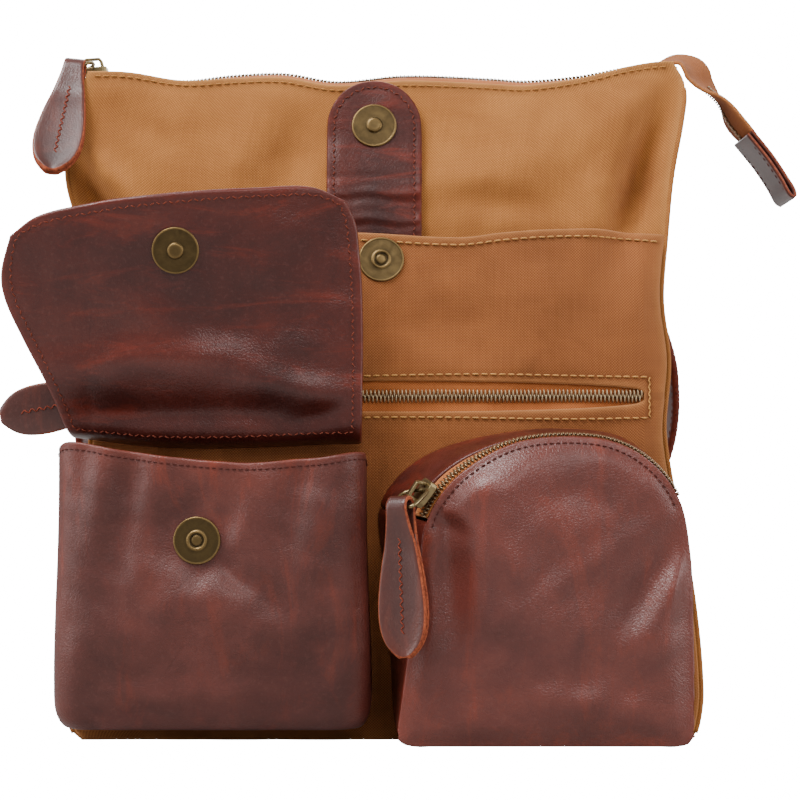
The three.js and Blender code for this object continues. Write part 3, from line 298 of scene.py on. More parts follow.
@dataclass(frozen=True)
class BagForm:
    """The surfaces that the canvas pieces and pockets lie on, in millimetres."""

    height: float = 270
    width: float = 252
    depth: float = 76
    mouth: float = 24
    front_belly: float = 6
    back_belly: float = 3
    pinch: float = 7
    canvas: float = 1.4
    leather: float = 1.8
    tape: float = 0.7
    seam_gap: float = 0.3
    seat_gap: float = 0.5
    patch_height: float = 201.5
    patch_room: float = 7
    slit_height: float = 136.5
    slit_left: float = -92
    slit_right: float = 102.5
    slit_gape: float = 10

    LEFT_SIDE = SmoothTable([
        (0, 0.955), (0.016, 0.99), (0.074, 1.0), (0.222, 0.975), (0.444, 0.93), (0.556, 0.915),
        (0.648, 0.93), (0.741, 0.965), (0.833, 1.02), (0.926, 1.01), (0.97, 0.985), (1, 0.965),
    ])
    RIGHT_SIDE = SmoothTable([
        (0, 0.965), (0.016, 0.985), (0.074, 1.0), (0.222, 0.97), (0.444, 0.885), (0.556, 0.9),
        (0.648, 0.88), (0.741, 0.897), (0.833, 0.92), (0.926, 0.96), (0.97, 0.968), (1, 0.932),
    ])
    TOP_SEAM = SmoothTable([
        (-1, 0.998), (-0.84, 0.997), (-0.65, 0.983), (-0.49, 0.987), (-0.33, 0.988), (-0.16, 0.975),
        (0.06, 0.983), (0.35, 0.978), (0.46, 0.976), (0.64, 0.988), (0.79, 1.005), (0.91, 1.013), (1, 1.008),
    ])
    PATCH_EDGE = SmoothTable([
        (-1, 1.0), (-0.1, 1.0), (0.23, 0.99), (0.37, 1.0), (0.53, 1.007), (0.73, 1.006), (1, 0.99),
    ])
    FRONT_FOLDS = (
        Fold(-112, 226, 21, 5, -50, 6.0),
        Fold(-120, 217, 22, 5.5, -50, -9.5),
        Fold(103.5, 224, 30, 8, 70, -12.5),
        Fold(89, 221, 32, 9, 70, 4.0),
        Fold(-38, 232, 24, 11, 72, -4.6),
        Fold(-62, 226, 26, 12, 60, 2.2),
        Fold(63, 235, 40, 12.5, 24, 3.2),
        Fold(-100, 246, 20, 6, -30, -1.6),
        Fold(96, 251, 24, 6, 40, 1.3),
        Fold(24, 222, 30, 7, 12, 1.3),
        Fold(48, 214, 34, 6, -4, -2.2),
    )
    PATCH_FOLDS = (
        Fold(60, 180, 40, 8, 8, 0.9),
        Fold(20, 165, 30, 9, -20, -0.9),
        Fold(95, 160, 25, 7, 70, 1.1),
        Fold(75, 130, 30, 6, 15, 0.7),
        Fold(0, 110, 26, 10, 80, -1.1),
    )
    BROAD = SoftNoise(3, 46)
    FINE = SoftNoise(8, 15)

    @property
    def half(self) -> float:
        """Half of the body's width."""
        return self.width / 2

    def side(self, which: Side, z: Array) -> Array:
        """Where a side of the body is at a height."""
        table = self.LEFT_SIDE if which is Side.LEFT else self.RIGHT_SIDE
        return which.value * self.half * table(np.asarray(z, float) / self.height)

    def top(self, x: Array) -> Array:
        """Height of the top seam."""
        return self.height * self.TOP_SEAM(np.asarray(x, float) / self.half)

    def half_depth(self, z: Array) -> Array:
        """Half of the body's depth at a height."""
        return mix(self.depth, self.mouth, np.clip(np.asarray(z, float) / self.height, 0, 1) ** 3) / 2

    def belly(self, x: Array, z: Array) -> Array:
        """How far a belly stands out, as a share."""
        across = np.clip(x / self.half, -1, 1)
        return (1 - across**2) * np.sin(math.pi * np.clip(z / self.height, 0, 1))

    def seam_fade(self, x: Array, z: Array) -> Array:
        """Nothing at the side seams, one away from them."""
        room = np.minimum(x - self.side(Side.LEFT, z), self.side(Side.RIGHT, z) - x) / self.half
        return smooth(room / 0.1)

    def rough(self, x: Array, z: Array) -> Array:
        """The small unevenness of the canvas."""
        return 0.55 * self.BROAD(x, z) + 0.16 * self.FINE(x, z)

    def front(self, x: Array, z: Array) -> Array:
        """The front panel's outer face."""
        lift = lift_of(self.FRONT_FOLDS, x, z) + self.rough(x, z)
        return -self.half_depth(z) - self.front_belly * self.belly(x, z) - lift * self.seam_fade(x, z)

    def back(self, x: Array, z: Array) -> Array:
        """The back panel's outer face."""
        lift = 0.9 * self.rough(x + 300, z) * self.seam_fade(x, z)
        return self.half_depth(z) + self.back_belly * self.belly(x, z) + lift

    def patch_top(self, x: Array) -> Array:
        """Height of the patch pocket's upper edge."""
        return self.patch_height * self.PATCH_EDGE(np.asarray(x, float) / self.half)

    def patch(self, x: Array, z: Array) -> Array:
        """The patch pocket's outer face.

        Args:
            x: the places across.
            z: the places up.

        Returns:
            Where the face is in depth.
        """
        across = np.clip(np.abs(x) / self.half, 0, 1)
        room = self.patch_room * (1 - across**4) * smooth(z / (self.patch_height * 0.35))
        lift = lift_of(self.PATCH_FOLDS, x, z) * self.seam_fade(x, z)
        return self.front(x, z) - self.canvas - self.seam_gap - room - lift

    def slit_half(self, x: Array) -> Array:
        """Half of the slit's gape."""
        share = np.clip((x - self.slit_left) / (self.slit_right - self.slit_left), 0, 1)
        return self.slit_gape / 2 * (0.3 + 0.9 * np.sin(math.pi * share) ** 0.4)


FORM = BagForm()


# Node groups and finishes


class NodePen:
    """Writes nodes into a tree and links them."""

    def __init__(self, tree: bpy.types.NodeTree) -> None:
        """Takes the tree to write in."""
        self.tree = tree
        self.column = 0

    def add(self, kind: str, inputs: Optional[dict] = None, **settings: object) -> bpy.types.Node:
        """Adds a node.

        Args:
            kind: the node's type name.
            inputs: values or sockets for its inputs, by name or number.
            settings: properties of the node.

        Returns:
            The new node.
        """
        node = self.tree.nodes.new(kind)
        self.column += 1
        node.location = (180 * self.column, -40 * (self.column % 7))
        for name, value in settings.items():
            setattr(node, name, value)
        self.feed(node, inputs or {})
        return node

    def feed(self, node: bpy.types.Node, inputs: dict) -> None:
        """Sets or links inputs of a node.

        Args:
            node: the node.
            inputs: values or sockets for its inputs, by name or number.
        """
        for name, value in inputs.items():
            if isinstance(value, Socket):
                self.tree.links.new(value, node.inputs[name])
            else:
                node.inputs[name].default_value = value

    def place(self) -> Socket:
        """The place on the object."""
        return self.add("ShaderNodeTexCoord").outputs["Object"]

    def stored(self, name: str) -> Socket:
        """A value that the mesh stores."""
        node = self.add("ShaderNodeAttribute", attribute_name=name, attribute_type="GEOMETRY")
        return node.outputs["Fac"]

    def math(self, operation: str, first: object, second: object = 0.0) -> Socket:
        """A sum of two values, or another operation on them."""
        return self.add("ShaderNodeMath", {0: first, 1: second}, operation=operation).outputs[0]

    def stretched(self, place: Socket, by: object) -> Socket:
        """A place stretched along its axes."""
        return self.add("ShaderNodeVectorMath", {0: place, 1: by}, operation="MULTIPLY").outputs[0]

    def pick(self, share: object, first: object, second: object) -> Socket:
        """A mix of two values."""
        return self.add("ShaderNodeMix", {0: share, 2: first, 3: second}, data_type="FLOAT").outputs[0]

    def blend(self, share: object, first: object, second: object) -> Socket:
        """A mix of two colours."""
        inputs = {0: share, 6: first, 7: second}
        return self.add("ShaderNodeMix", inputs, data_type="RGBA", clamp_factor=True).outputs[2]

    def tint(self, base: Socket, mask: Socket, share: float, tone: object) -> Socket:
        """Lays a tone over a colour by a share of a mask."""
        return self.blend(self.math("MULTIPLY", mask, share), base, tone)

    def spread(
        self, value: object, low: float, high: float, start: float = 0.0, end: float = 1.0,
    ) -> Socket:
        """Stretches a value from one range to another and keeps it inside.

        Args:
            value: the value.
            low: where the first range starts.
            high: where it ends.
            start: where the second range starts.
            end: where it ends.

        Returns:
            The stretched value's socket.
        """
        inputs = {0: value, 1: low, 2: high, 3: start, 4: end}
        return self.add("ShaderNodeMapRange", inputs, clamp=True).outputs[0]

    def noise(
        self, place: object, scale: object, detail: float = 3.0, rough: float = 0.55, bend: float = 0.0,
    ) -> Socket:
        """Soft noise in space.

        Args:
            place: where it is read.
            scale: how fine it is.
            detail: how many finer layers it has.
            rough: how strong those are.
            bend: how much it is distorted.

        Returns:
            The noise's socket.
        """
        inputs = {"Vector": place, "Scale": scale, "Detail": detail, "Roughness": rough, "Distortion": bend}
        return self.add("ShaderNodeTexNoise", inputs).outputs[0]

    def bump(self, strength: float, distance: float, height: Socket) -> Socket:
        """Normals that a height bends."""
        inputs = {"Strength": strength, "Distance": distance, "Height": height}
        return self.add("ShaderNodeBump", inputs).outputs[0]

    def group(self, tree: bpy.types.NodeTree, **inputs: object) -> bpy.types.NodeOutputs:
        """Places a node group with values of its own and gives its outputs."""
        return self.add("ShaderNodeGroup", inputs, node_tree=tree).outputs


def new_group(name: str, takes: dict, gives: Sequence[str]) -> tuple[NodePen, dict, bpy.types.Node]:
    """Starts a shader node group whose outputs are single values.

    Args:
        name: the group's name.
        takes: the default value of each input by name, a number or a vector.
        gives: the names of the outputs.

    Returns:
        A pen, the input sockets by name and the output node.
    """
    tree = bpy.data.node_groups.new(name, "ShaderNodeTree")
    for title, value in takes.items():
        kind = "NodeSocketFloat" if isinstance(value, float) else "NodeSocketVector"
        tree.interface.new_socket(title, in_out="INPUT", socket_type=kind).default_value = value
    for title in gives:
        tree.interface.new_socket(title, in_out="OUTPUT", socket_type="NodeSocketFloat")
    pen = NodePen(tree)
    start = pen.add("NodeGroupInput")
    return pen, {socket.name: socket for socket in start.outputs}, pen.add("NodeGroupOutput")


def weave_group() -> bpy.types.NodeTree:
    """Builds the plain weave of a cloth: its height, which thread is on top and its yarns' tones."""
    takes = {"Pitch": 0.0009, "Slub": 0.4}
    pen, given, end = new_group("plain_weave", takes, ("Height", "Thread", "Yarn"))
    place = pen.add("ShaderNodeUVMap", uv_map="cloth").outputs[0]
    sway = pen.math("MULTIPLY", pen.noise(place, 420.0, 2.0), given["Slub"])
    parts = pen.add("ShaderNodeSeparateXYZ", {0: place}).outputs
    waves = []
    for part in (parts[0], parts[1]):
        shifted = pen.math("ADD", pen.math("DIVIDE", part, given["Pitch"]), sway)
        waves.append(pen.math("SINE", pen.math("MULTIPLY", shifted, math.pi)))
    checker = pen.math("MULTIPLY", waves[0], waves[1])
    over = pen.spread(checker, -0.35, 0.35)
    thread = pen.pick(over, pen.math("ABSOLUTE", waves[0]), pen.math("ABSOLUTE", waves[1]))
    uneven = pen.math("MULTIPLY", pen.noise(place, 900.0, 3.0), 0.35)
    yarns = []
    for stretch in ((50.0, 950.0, 1.0), (950.0, 50.0, 1.0)):
        yarns.append(pen.spread(pen.noise(pen.stretched(place, stretch), 1.0, 2.0), 0.3, 0.7))
    pen.feed(end, {
        "Height": pen.math("ADD", thread, uneven),
        "Thread": pen.spread(checker, -1.0, 1.0),
        "Yarn": pen.pick(over, yarns[0], yarns[1]),
    })
    return pen.tree


def grain_group() -> bpy.types.NodeTree:
    """Builds leather grain: fine cells and broad soft wrinkles."""
    pen, given, end = new_group("leather_grain", {"Cells": 900.0, "Wrinkle": 0.6}, ("Height", "Crease"))
    place = pen.place()
    inputs = {"Vector": place, "Scale": given["Cells"]}
    cells = pen.add("ShaderNodeTexVoronoi", inputs, feature="DISTANCE_TO_EDGE").outputs[0]
    skin = pen.math("MULTIPLY", pen.spread(cells, 0.0, 0.22), 0.35)
    line = pen.math("ABSOLUTE", pen.math("SUBTRACT", pen.noise(place, 55.0, 4.0, 0.6, 1.6), 0.5))
    crease = pen.spread(line, 0.0, 0.035)
    soft = pen.math("MULTIPLY", pen.noise(place, 160.0, 4.0), 1.2)
    wrinkles = pen.math("MULTIPLY", pen.math("ADD", soft, crease), given["Wrinkle"])
    pen.feed(end, {"Height": pen.math("ADD", skin, wrinkles), "Crease": pen.math("SUBTRACT", 1.0, crease)})
    return pen.tree


def mottle_group() -> bpy.types.NodeTree:
    """Builds uneven colour: broad clouds, streaks along one way and small specks, as masks."""
    takes = {"Size": 18.0, "Stretch": (1.0, 1.0, 1.0)}
    pen, given, end = new_group("mottle", takes, ("Cloud", "Streak", "Speck"))
    place = pen.place()
    streak = pen.noise(pen.stretched(place, given["Stretch"]), 60.0, 6.0, 0.7, 1.2)
    pen.feed(end, {
        "Cloud": pen.spread(pen.noise(place, given["Size"], 5.0, 0.62, 0.6), 0.34, 0.66),
        "Streak": pen.spread(streak, 0.52, 0.72),
        "Speck": pen.spread(pen.noise(place, 700.0, 2.0), 0.55, 0.75),
    })
    return pen.tree


def wear_group() -> bpy.types.NodeTree:
    """Builds masks from what each mesh stores: nearness to its edge, its seams and its rim."""
    pen, given, end = new_group("edge_wear", {"Break": 0.5}, ("Edge", "Seam", "Rim"))
    patches = pen.math("MULTIPLY", pen.noise(pen.place(), 240.0, 4.0), given["Break"])
    broken = pen.math("ADD", patches, pen.math("SUBTRACT", 1.0, given["Break"]))
    edge = pen.math("MULTIPLY", pen.stored("edge"), broken)
    pen.feed(end, {"Edge": edge, "Seam": pen.stored("seam"), "Rim": pen.stored("rim")})
    return pen.tree


WEAVE = weave_group()
GRAIN = grain_group()
MOTTLE = mottle_group()
WEAR = wear_group()


def colour(tone: Sequence[float]) -> tuple[float, float, float, float]:
    """Turns a colour of 0 to 255 as seen into the linear one that a shader takes."""
    linear = [((c / 255 + 0.055) / 1.055) ** 2.4 if c > 10 else c / 255 / 12.92 for c in tone]
    return (linear[0], linear[1], linear[2], 1.0)


def start_material(name: str) -> tuple[bpy.types.Material, NodePen, bpy.types.Node]:
    """Makes a material.

    Args:
        name: its name.

    Returns:
        The material, a pen for its tree and its Principled shader.
    """
    material = bpy.data.materials.new(name)
    material.use_nodes = True
    pen = NodePen(material.node_tree)
    return material, pen, material.node_tree.nodes["Principled BSDF"]


@dataclass(frozen=True)
class CanvasFinish:
    """Heavy plain-woven cotton, with paler rubbed edges, darker seams and painted shade and highlight on
    alternate cells of its weave.
    """

    name: str
    light: tuple = (206, 132, 64)
    deep: tuple = (166, 98, 42)
    # the colour of the darker seams, and also of the painted shade on alternate cells of the weave
    seam_and_shade: tuple = (88, 44, 18)
    edge: tuple = (228, 166, 98)
    pitch: float = 0.00056
    relief: float = 0.00016

    def make(self) -> bpy.types.Material:
        """Builds the material."""
        material, pen, shader = start_material(self.name)
        weave = pen.group(WEAVE, Pitch=self.pitch, Slub=0.5)
        mottle = pen.group(MOTTLE, Size=22.0)
        wear = pen.group(WEAR, Break=0.6)
        seam_and_shade, edge = colour(self.seam_and_shade), colour(self.edge)
        base = pen.blend(mottle["Cloud"], colour(self.deep), colour(self.light))
        # painted shade: the weave's cells where one set of threads lies on top are mixed darker
        shaded_weave = pen.blend(0.62, base, seam_and_shade)
        # painted highlight: the other cells are mixed toward the pale rubbed-edge colour
        lit_weave = pen.blend(0.3, base, edge)
        base = pen.blend(pen.spread(weave["Thread"], 0.15, 0.85), shaded_weave, lit_weave)
        # random yarn tones, mixed toward the painted-shade colour
        base = pen.tint(base, weave["Yarn"], 0.3, shaded_weave)
        base = pen.tint(base, wear["Edge"], 0.6, edge)
        base = pen.tint(base, wear["Seam"], 0.45, seam_and_shade)
        pen.feed(shader, {
            "Base Color": base,
            "Roughness": 0.92,
            "Sheen Weight": 0.08,
            "Sheen Roughness": 0.5,
            "Specular IOR Level": 0.2,
            "Normal": pen.bump(0.9, self.relief, weave["Height"]),
        })
        return material


@dataclass(frozen=True)
class LeatherFinish:
    """Waxed pull-up leather with clouds, rubbed streaks, a soft gloss and painted shade in the creases of
    its grain.
    """

    name: str
    deep: tuple = (80, 38, 32)
    body: tuple = (106, 52, 44)
    rubbed: tuple = (146, 58, 36)
    bloom: tuple = (140, 92, 84)
    streak_way: tuple = (1.0, 1.0, 0.25)
    rubbed_share: float = 0.26
    edge_share: float = 0.3
    rim_share: float = 0.45
    rough_low: float = 0.3
    rough_high: float = 0.44
    wrinkle: float = 0.28
    relief: float = 0.00028
    specular: float = 0.46
    coat: float = 0.1

    def make(self) -> bpy.types.Material:
        """Builds the material."""
        material, pen, shader = start_material(self.name)
        grain = pen.group(GRAIN, Cells=850.0, Wrinkle=self.wrinkle)
        mottle = pen.group(MOTTLE, Size=24.0, Stretch=self.streak_way)
        wear = pen.group(WEAR, Break=0.7)
        deep, rubbed = colour(self.deep), colour(self.rubbed)
        base = pen.blend(mottle["Cloud"], deep, colour(self.body))
        base = pen.tint(base, mottle["Streak"], self.rubbed_share, rubbed)
        base = pen.tint(base, mottle["Speck"], 0.1, colour(self.bloom))
        # painted shade: darker along the grain's crease lines
        base = pen.tint(base, grain["Crease"], 0.22, deep)
        rim = pen.math("MULTIPLY", wear["Rim"], pen.spread(mottle["Streak"], 0.0, 0.8, 0.25, 1.0))
        base = pen.tint(base, rim, self.rim_share, rubbed)
        base = pen.tint(base, wear["Edge"], self.edge_share, rubbed)
        base = pen.tint(base, wear["Seam"], 0.4, deep)
        pen.feed(shader, {
            "Base Color": base,
            "Roughness": pen.spread(mottle["Cloud"], 0.0, 1.0, self.rough_high, self.rough_low),
            "Specular IOR Level": self.specular,
            "Coat Weight": self.coat,
            "Coat Roughness": 0.3,
            "Normal": pen.bump(0.55, self.relief, grain["Height"]),
        })
        return material


@dataclass(frozen=True)
class RawEdgeFinish:
    """The cut edge of leather, orange and fuzzy."""

    name: str
    light: tuple
    deep: tuple

    def make(self) -> bpy.types.Material:
        """Builds the material."""
        material, pen, shader = start_material(self.name)
        fuzz = pen.noise(pen.place(), 900.0, 5.0, 0.7)
        pen.feed(shader, {
            "Base Color": pen.blend(pen.spread(fuzz, 0.35, 0.65), colour(self.deep), colour(self.light)),
            "Roughness": 0.85,
            "Specular IOR Level": 0.2,
            "Normal": pen.bump(0.8, 0.0003, fuzz),
        })
        return material


@dataclass(frozen=True)
class ThreadFinish:
    """Sewing thread with a fine twist."""

    name: str
    tone: tuple

    def make(self) -> bpy.types.Material:
        """Builds the material."""
        material, pen, shader = start_material(self.name)
        inputs = {"Vector": pen.place(), "Scale": 900.0, "Distortion": 2.0}
        twist = pen.add("ShaderNodeTexWave", inputs, bands_direction="DIAGONAL").outputs["Fac"]
        darker = colour([0.62 * c for c in self.tone])
        pen.feed(shader, {
            "Base Color": pen.blend(twist, darker, colour(self.tone)),
            "Roughness": 0.8,
            "Specular IOR Level": 0.2,
            "Normal": pen.bump(0.5, 0.0001, twist),
        })
        return material


@dataclass(frozen=True)
class BrassFinish:
    """Antique brass: dark in its hollows and rubbed bright on its edges."""

    name: str
    bright: tuple = (138, 112, 70)
    dark: tuple = (40, 33, 22)
    rough: float = 0.34

    def make(self) -> bpy.types.Material:
        """Builds the material."""
        material, pen, shader = start_material(self.name)
        mottle = pen.group(MOTTLE, Size=260.0)
        wear = pen.group(WEAR, Break=0.35)
        duller = colour([0.5 * c for c in self.bright])
        tarnish = pen.blend(mottle["Cloud"], colour(self.dark), duller)
        pen.feed(shader, {
            "Base Color": pen.blend(wear["Edge"], tarnish, colour(self.bright)),
            "Metallic": 0.92,
            "Roughness": pen.spread(mottle["Cloud"], 0.0, 1.0, self.rough + 0.16, self.rough),
            "Normal": pen.bump(0.25, 0.00006, pen.noise(pen.place(), 1500.0, 4.0)),
        })
        return material


CANVAS = CanvasFinish("canvas_body").make()
# the patch pocket's canvas is a darker copy of the body's: partly painted shade, for the shadow that the
# pockets and the flap cast on it
SHADED_PATCH_CANVAS = CanvasFinish(
    "canvas_patch", light=(176, 102, 54), deep=(132, 72, 37), edge=(210, 146, 88),
).make()
TAIL_CANVAS = CanvasFinish(
    "canvas_tail", light=(186, 108, 56), deep=(140, 72, 32), edge=(206, 138, 84),
).make()
TAPE = CanvasFinish(
    "zip_tape_weave", light=(222, 130, 68), deep=(188, 100, 46), seam_and_shade=(84, 38, 18), edge=(226, 148, 88),
    pitch=0.0005, relief=0.0001,
).make()
LEATHER = LeatherFinish("pocket_leather").make()
BOX_LEATHER = LeatherFinish(
    "box_leather", deep=(72, 35, 30), body=(97, 49, 42), rough_low=0.36, rough_high=0.46, specular=0.36,
    coat=0.06,
).make()
# also laid on the dome pocket's band and gusset, where its darker colour is painted shade
FLAP_AND_SHADED_LEATHER = LeatherFinish(
    "flap_leather", deep=(54, 20, 16), body=(84, 35, 28), rubbed=(132, 46, 28), streak_way=(0.3, 1.0, 1.4),
    rubbed_share=0.35, rough_low=0.28, rough_high=0.38, wrinkle=0.25, relief=0.0002, specular=0.4, coat=0.06,
).make()
STRAP_LEATHER = LeatherFinish(
    "strap_leather", deep=(62, 29, 25), body=(86, 43, 37), rough_low=0.5, rough_high=0.6, specular=0.16,
    coat=0.0,
).make()
TAB_LEATHER = LeatherFinish(
    "tab_leather", deep=(40, 13, 10), body=(76, 28, 20), rubbed=(118, 40, 25), streak_way=(0.25, 1.0, 1.6),
    rubbed_share=0.5, rough_low=0.36, rough_high=0.5, wrinkle=0.3, relief=0.0002, specular=0.24, coat=0.0,
).make()
PULLER_LEATHER = LeatherFinish(
    "puller_leather", deep=(52, 26, 23), body=(76, 40, 35), rubbed=(130, 60, 42), bloom=(138, 96, 86),
    edge_share=0.35, rim_share=0.15, rough_low=0.26, rough_high=0.36, wrinkle=0.2, relief=0.0001,
).make()
RAW_EDGE = RawEdgeFinish("raw_leather_edge", light=(178, 92, 58), deep=(108, 48, 34)).make()
DARK_EDGE = RawEdgeFinish("burnished_leather_edge", light=(124, 56, 40), deep=(66, 26, 22)).make()
GOLD_THREAD = ThreadFinish("golden_thread", tone=(228, 164, 92)).make()
TAN_THREAD = ThreadFinish("tan_thread", tone=(214, 148, 78)).make()
RUST_THREAD = ThreadFinish("rust_thread", tone=(150, 66, 46)).make()
FLAP_THREAD = ThreadFinish("flap_thread", tone=(138, 64, 46)).make()
MAROON_THREAD = ThreadFinish("maroon_thread", tone=(92, 42, 35)).make()
BRASS = BrassFinish("antique_brass").make()
SLIDER_BRASS = BrassFinish("slider_brass", bright=(190, 168, 122), dark=(72, 58, 36), rough=0.24).make()
TEETH = BrassFinish("zip_teeth_brass", bright=(192, 166, 130), dark=(64, 50, 36), rough=0.3).make()


# Meshes


@dataclass
class MeshParts:
    """Points, faces and what each point stores, gathered before a mesh is made."""

    points: Array
    faces: list
    uv: Optional[Array] = None
    edge: Optional[Array] = None
    seam: Optional[Array] = None
    kinds: Optional[Array] = None
    rim: Optional[Array] = None


def make_piece(
    name: str, parts: MeshParts, materials: Sequence[bpy.types.Material],
    nodes: Sequence[str] = (), smooth_shade: bool = True,
) -> bpy.types.Object:
    """Makes an object from mesh parts, in the bag's frame, and lets it ride on the bag.

    Args:
        name: the piece's name.
        parts: its points in millimetres, faces and stored values.
        materials: the materials, in the order of the faces' kinds.
        nodes: the solids that it stands for.
        smooth_shade: whether its faces are shaded smooth.

    Returns:
        The object.
    """
    mesh = bpy.data.meshes.new(name)
    mesh.from_pydata((parts.points * MM).tolist(), [], parts.faces)
    for material in materials:
        mesh.materials.append(material)
    if parts.kinds is not None:
        mesh.polygons.foreach_set("material_index", parts.kinds.astype(np.int32))
    corners = np.empty(len(mesh.loops), np.int32)
    mesh.loops.foreach_get("vertex_index", corners)
    uv = parts.uv if parts.uv is not None else parts.points[:, [0, 2]] * MM
    layer = mesh.uv_layers.new(name="cloth")
    layer.data.foreach_set("uv", uv[corners].astype(np.float32).ravel())
    for title, values in (("edge", parts.edge), ("seam", parts.seam), ("rim", parts.rim)):
        stored = np.zeros(len(parts.points)) if values is None else values
        attribute = mesh.attributes.new(title, "FLOAT", "POINT")
        attribute.data.foreach_set("value", stored.astype(np.float32))
    if smooth_shade:
        mesh.shade_smooth()
    mesh.validate()
    mesh.update()
    piece = bpy.data.objects.new(name, mesh)
    bpy.context.scene.collection.objects.link(piece)
    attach(piece, "root")
    if nodes:
        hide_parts(*nodes)
    LOG.info("%s: %d faces", name, len(parts.faces))
    return piece


def nearest(points: Array, marks: Array, batch: int = 1500) -> Array:
    """Distance from each point to the nearest of some marks.

    Args:
        points: the points.
        marks: the marks.
        batch: how many points are measured at once.

    Returns:
        The distances.
    """
    best = []
    for start in range(0, len(points), batch):
        away = points[start:start + batch, None, :] - marks[None, :, :]
        best.append(np.linalg.norm(away, axis=2).min(axis=1))
    return np.concatenate(best)


def normals_of(grid: Array, facing: Sequence[float], probe: Optional[tuple[int, int]] = None) -> Array:
    """Unit normals of a grid of points.

    Args:
        grid: rows of points.
        facing: the way that they look.
        probe: the row and column that look that way, or nothing where the whole does.

    Returns:
        The normals, as a grid.
    """
    normal = unit(np.cross(np.gradient(grid, axis=1), np.gradient(grid, axis=0)))
    towards = normal @ np.asarray(facing, float)
    towards = towards.mean() if probe is None else towards[probe]
    return -normal if towards < 0 else normal


@dataclass
class Sheet:
    """A sheet of even thickness on a grid of points, with rounded edges, seams and open cells."""

    grid: Array
    thickness: float
    facing: tuple = (0.0, -1.0, 0.0)
    normal: Optional[Array] = None
    middle: bool = False
    hidden: Optional[Array] = None
    seams: Sequence[Array] = ()
    seam_depth: float = 0.35
    seam_width: float = 1.6
    raw: float = 0.0
    wear: float = 1.6
    rub_reach: float = 12.0
    rub: Optional[Array] = None

    def build(self) -> MeshParts:
        """Builds the closed sheet. The grid is its outer face, or its middle where that is said."""
        rows, columns = self.grid.shape[:2]
        total = rows * columns
        normal = normals_of(self.grid, self.facing) if self.normal is None else self.normal
        normal = normal.reshape(-1, 3)
        base = self.grid.reshape(-1, 3)
        if not self.middle:
            base = base - normal * self.thickness / 2
        numbers = np.arange(total).reshape(rows, columns)
        kept = np.ones((rows - 1, columns - 1), bool) if self.hidden is None else ~self.hidden
        a, b = numbers[:-1, :-1][kept], numbers[:-1, 1:][kept]
        c, d = numbers[1:, 1:][kept], numbers[1:, :-1][kept]
        outer = np.stack([a, b, c, d], axis=1)
        turn = np.einsum("ij,ij->i", np.cross(base[b] - base[a], base[d] - base[a]), normal[a])
        if np.median(turn) < 0:
            outer = outer[:, ::-1]
        starts = outer.ravel()
        ends = np.roll(outer, -1, axis=1).ravel()
        alone = ~np.isin(starts * total + ends, ends * total + starts)
        rim_start, rim_end = starts[alone], ends[alone]
        border = np.unique(np.concatenate([rim_start, rim_end]))
        gap = nearest(base, base[border])
        radius = self.thickness * 0.5
        swell = np.sqrt(1 - (1 - np.clip(gap / radius, 0.0, 1.0)) ** 2)
        half = self.thickness / 2 * np.maximum(swell, 0.3)[:, None]
        seam = np.zeros(total)
        if len(self.seams):
            off = nearest(base, np.vstack(self.seams))
            seam = np.exp(-((off / self.seam_width) ** 2))
            base = base - normal * (self.seam_depth * seam)[:, None]
        points = np.vstack([base + normal * half, base - normal * half])
        rim = np.stack([rim_end, rim_start, rim_start + total, rim_end + total], axis=1)
        faces = np.vstack([outer, outer[:, ::-1] + total, rim])
        cut = gap[outer].mean(axis=1) < radius * self.raw
        rubbed = np.exp(-gap / self.rub_reach)
        if self.rub is not None:
            rubbed = np.maximum(rubbed, self.rub.ravel())
        kinds = np.concatenate([cut, cut, np.ones(len(rim), bool)]).astype(int)
        used = np.unique(faces)
        renumber = np.zeros(2 * total, int)
        renumber[used] = np.arange(len(used))
        uv = np.tile(self.flat_places().reshape(-1, 2), (2, 1))
        edge = np.tile(np.exp(-gap / self.wear), 2)
        return MeshParts(
            points[used], renumber[faces].tolist(), uv[used], edge[used], np.tile(seam, 2)[used], kinds,
            np.tile(rubbed, 2)[used],
        )

    def flat_places(self) -> Array:
        """Places on the flat cut sheet, in metres, with straight threads both ways."""
        across = np.linalg.norm(np.diff(self.grid, axis=1), axis=2).mean(axis=0)
        up = np.linalg.norm(np.diff(self.grid, axis=0), axis=2).mean(axis=1)
        u, v = np.meshgrid(np.append(0.0, np.cumsum(across)), np.append(0.0, np.cumsum(up)))
        return np.stack([u, v], axis=-1) * MM


def grid_of(across: Array, up: Array, place: Place) -> Array:
    """Points of a surface at every pair of shares across and up."""
    columns, rows = np.meshgrid(across, up)
    return place(columns, rows)


def draped(place: Place, ground: Ground) -> Place:
    """Lays an outline on a ground.

    Args:
        place: the outline, seen from the front.
        ground: the surface under it.

    Returns:
        A function of the shares across and up that gives points on the ground.
    """

    def point(across: Array, up: Array) -> Array:
        """A point on the ground."""
        flat = place(across, up)
        x, z = flat[..., 0], flat[..., 2]
        return spots(x, ground(x, z), z)

    return point


def laid(line: Array, ground: Ground) -> Array:
    """Lays a line of places, seen from the front, on a ground."""
    return spots(line[:, 0], ground(line[:, 0], line[:, 2]), line[:, 2])


def on_ground(x: Array, z: Array, ground: Ground, reach: float = 1.5) -> tuple[Array, Array]:
    """Points and outward normals of a front surface at places seen from the front.

    Args:
        x: the places across.
        z: the places up.
        ground: the surface.
        reach: how far to each side its slope is measured.

    Returns:
        The points and the normals.
    """
    slope_x = (ground(x + reach, z) - ground(x - reach, z)) / (2 * reach)
    slope_z = (ground(x, z + reach) - ground(x, z - reach)) / (2 * reach)
    return spots(x, ground(x, z), z), unit(spots(slope_x, -1.0, slope_z))


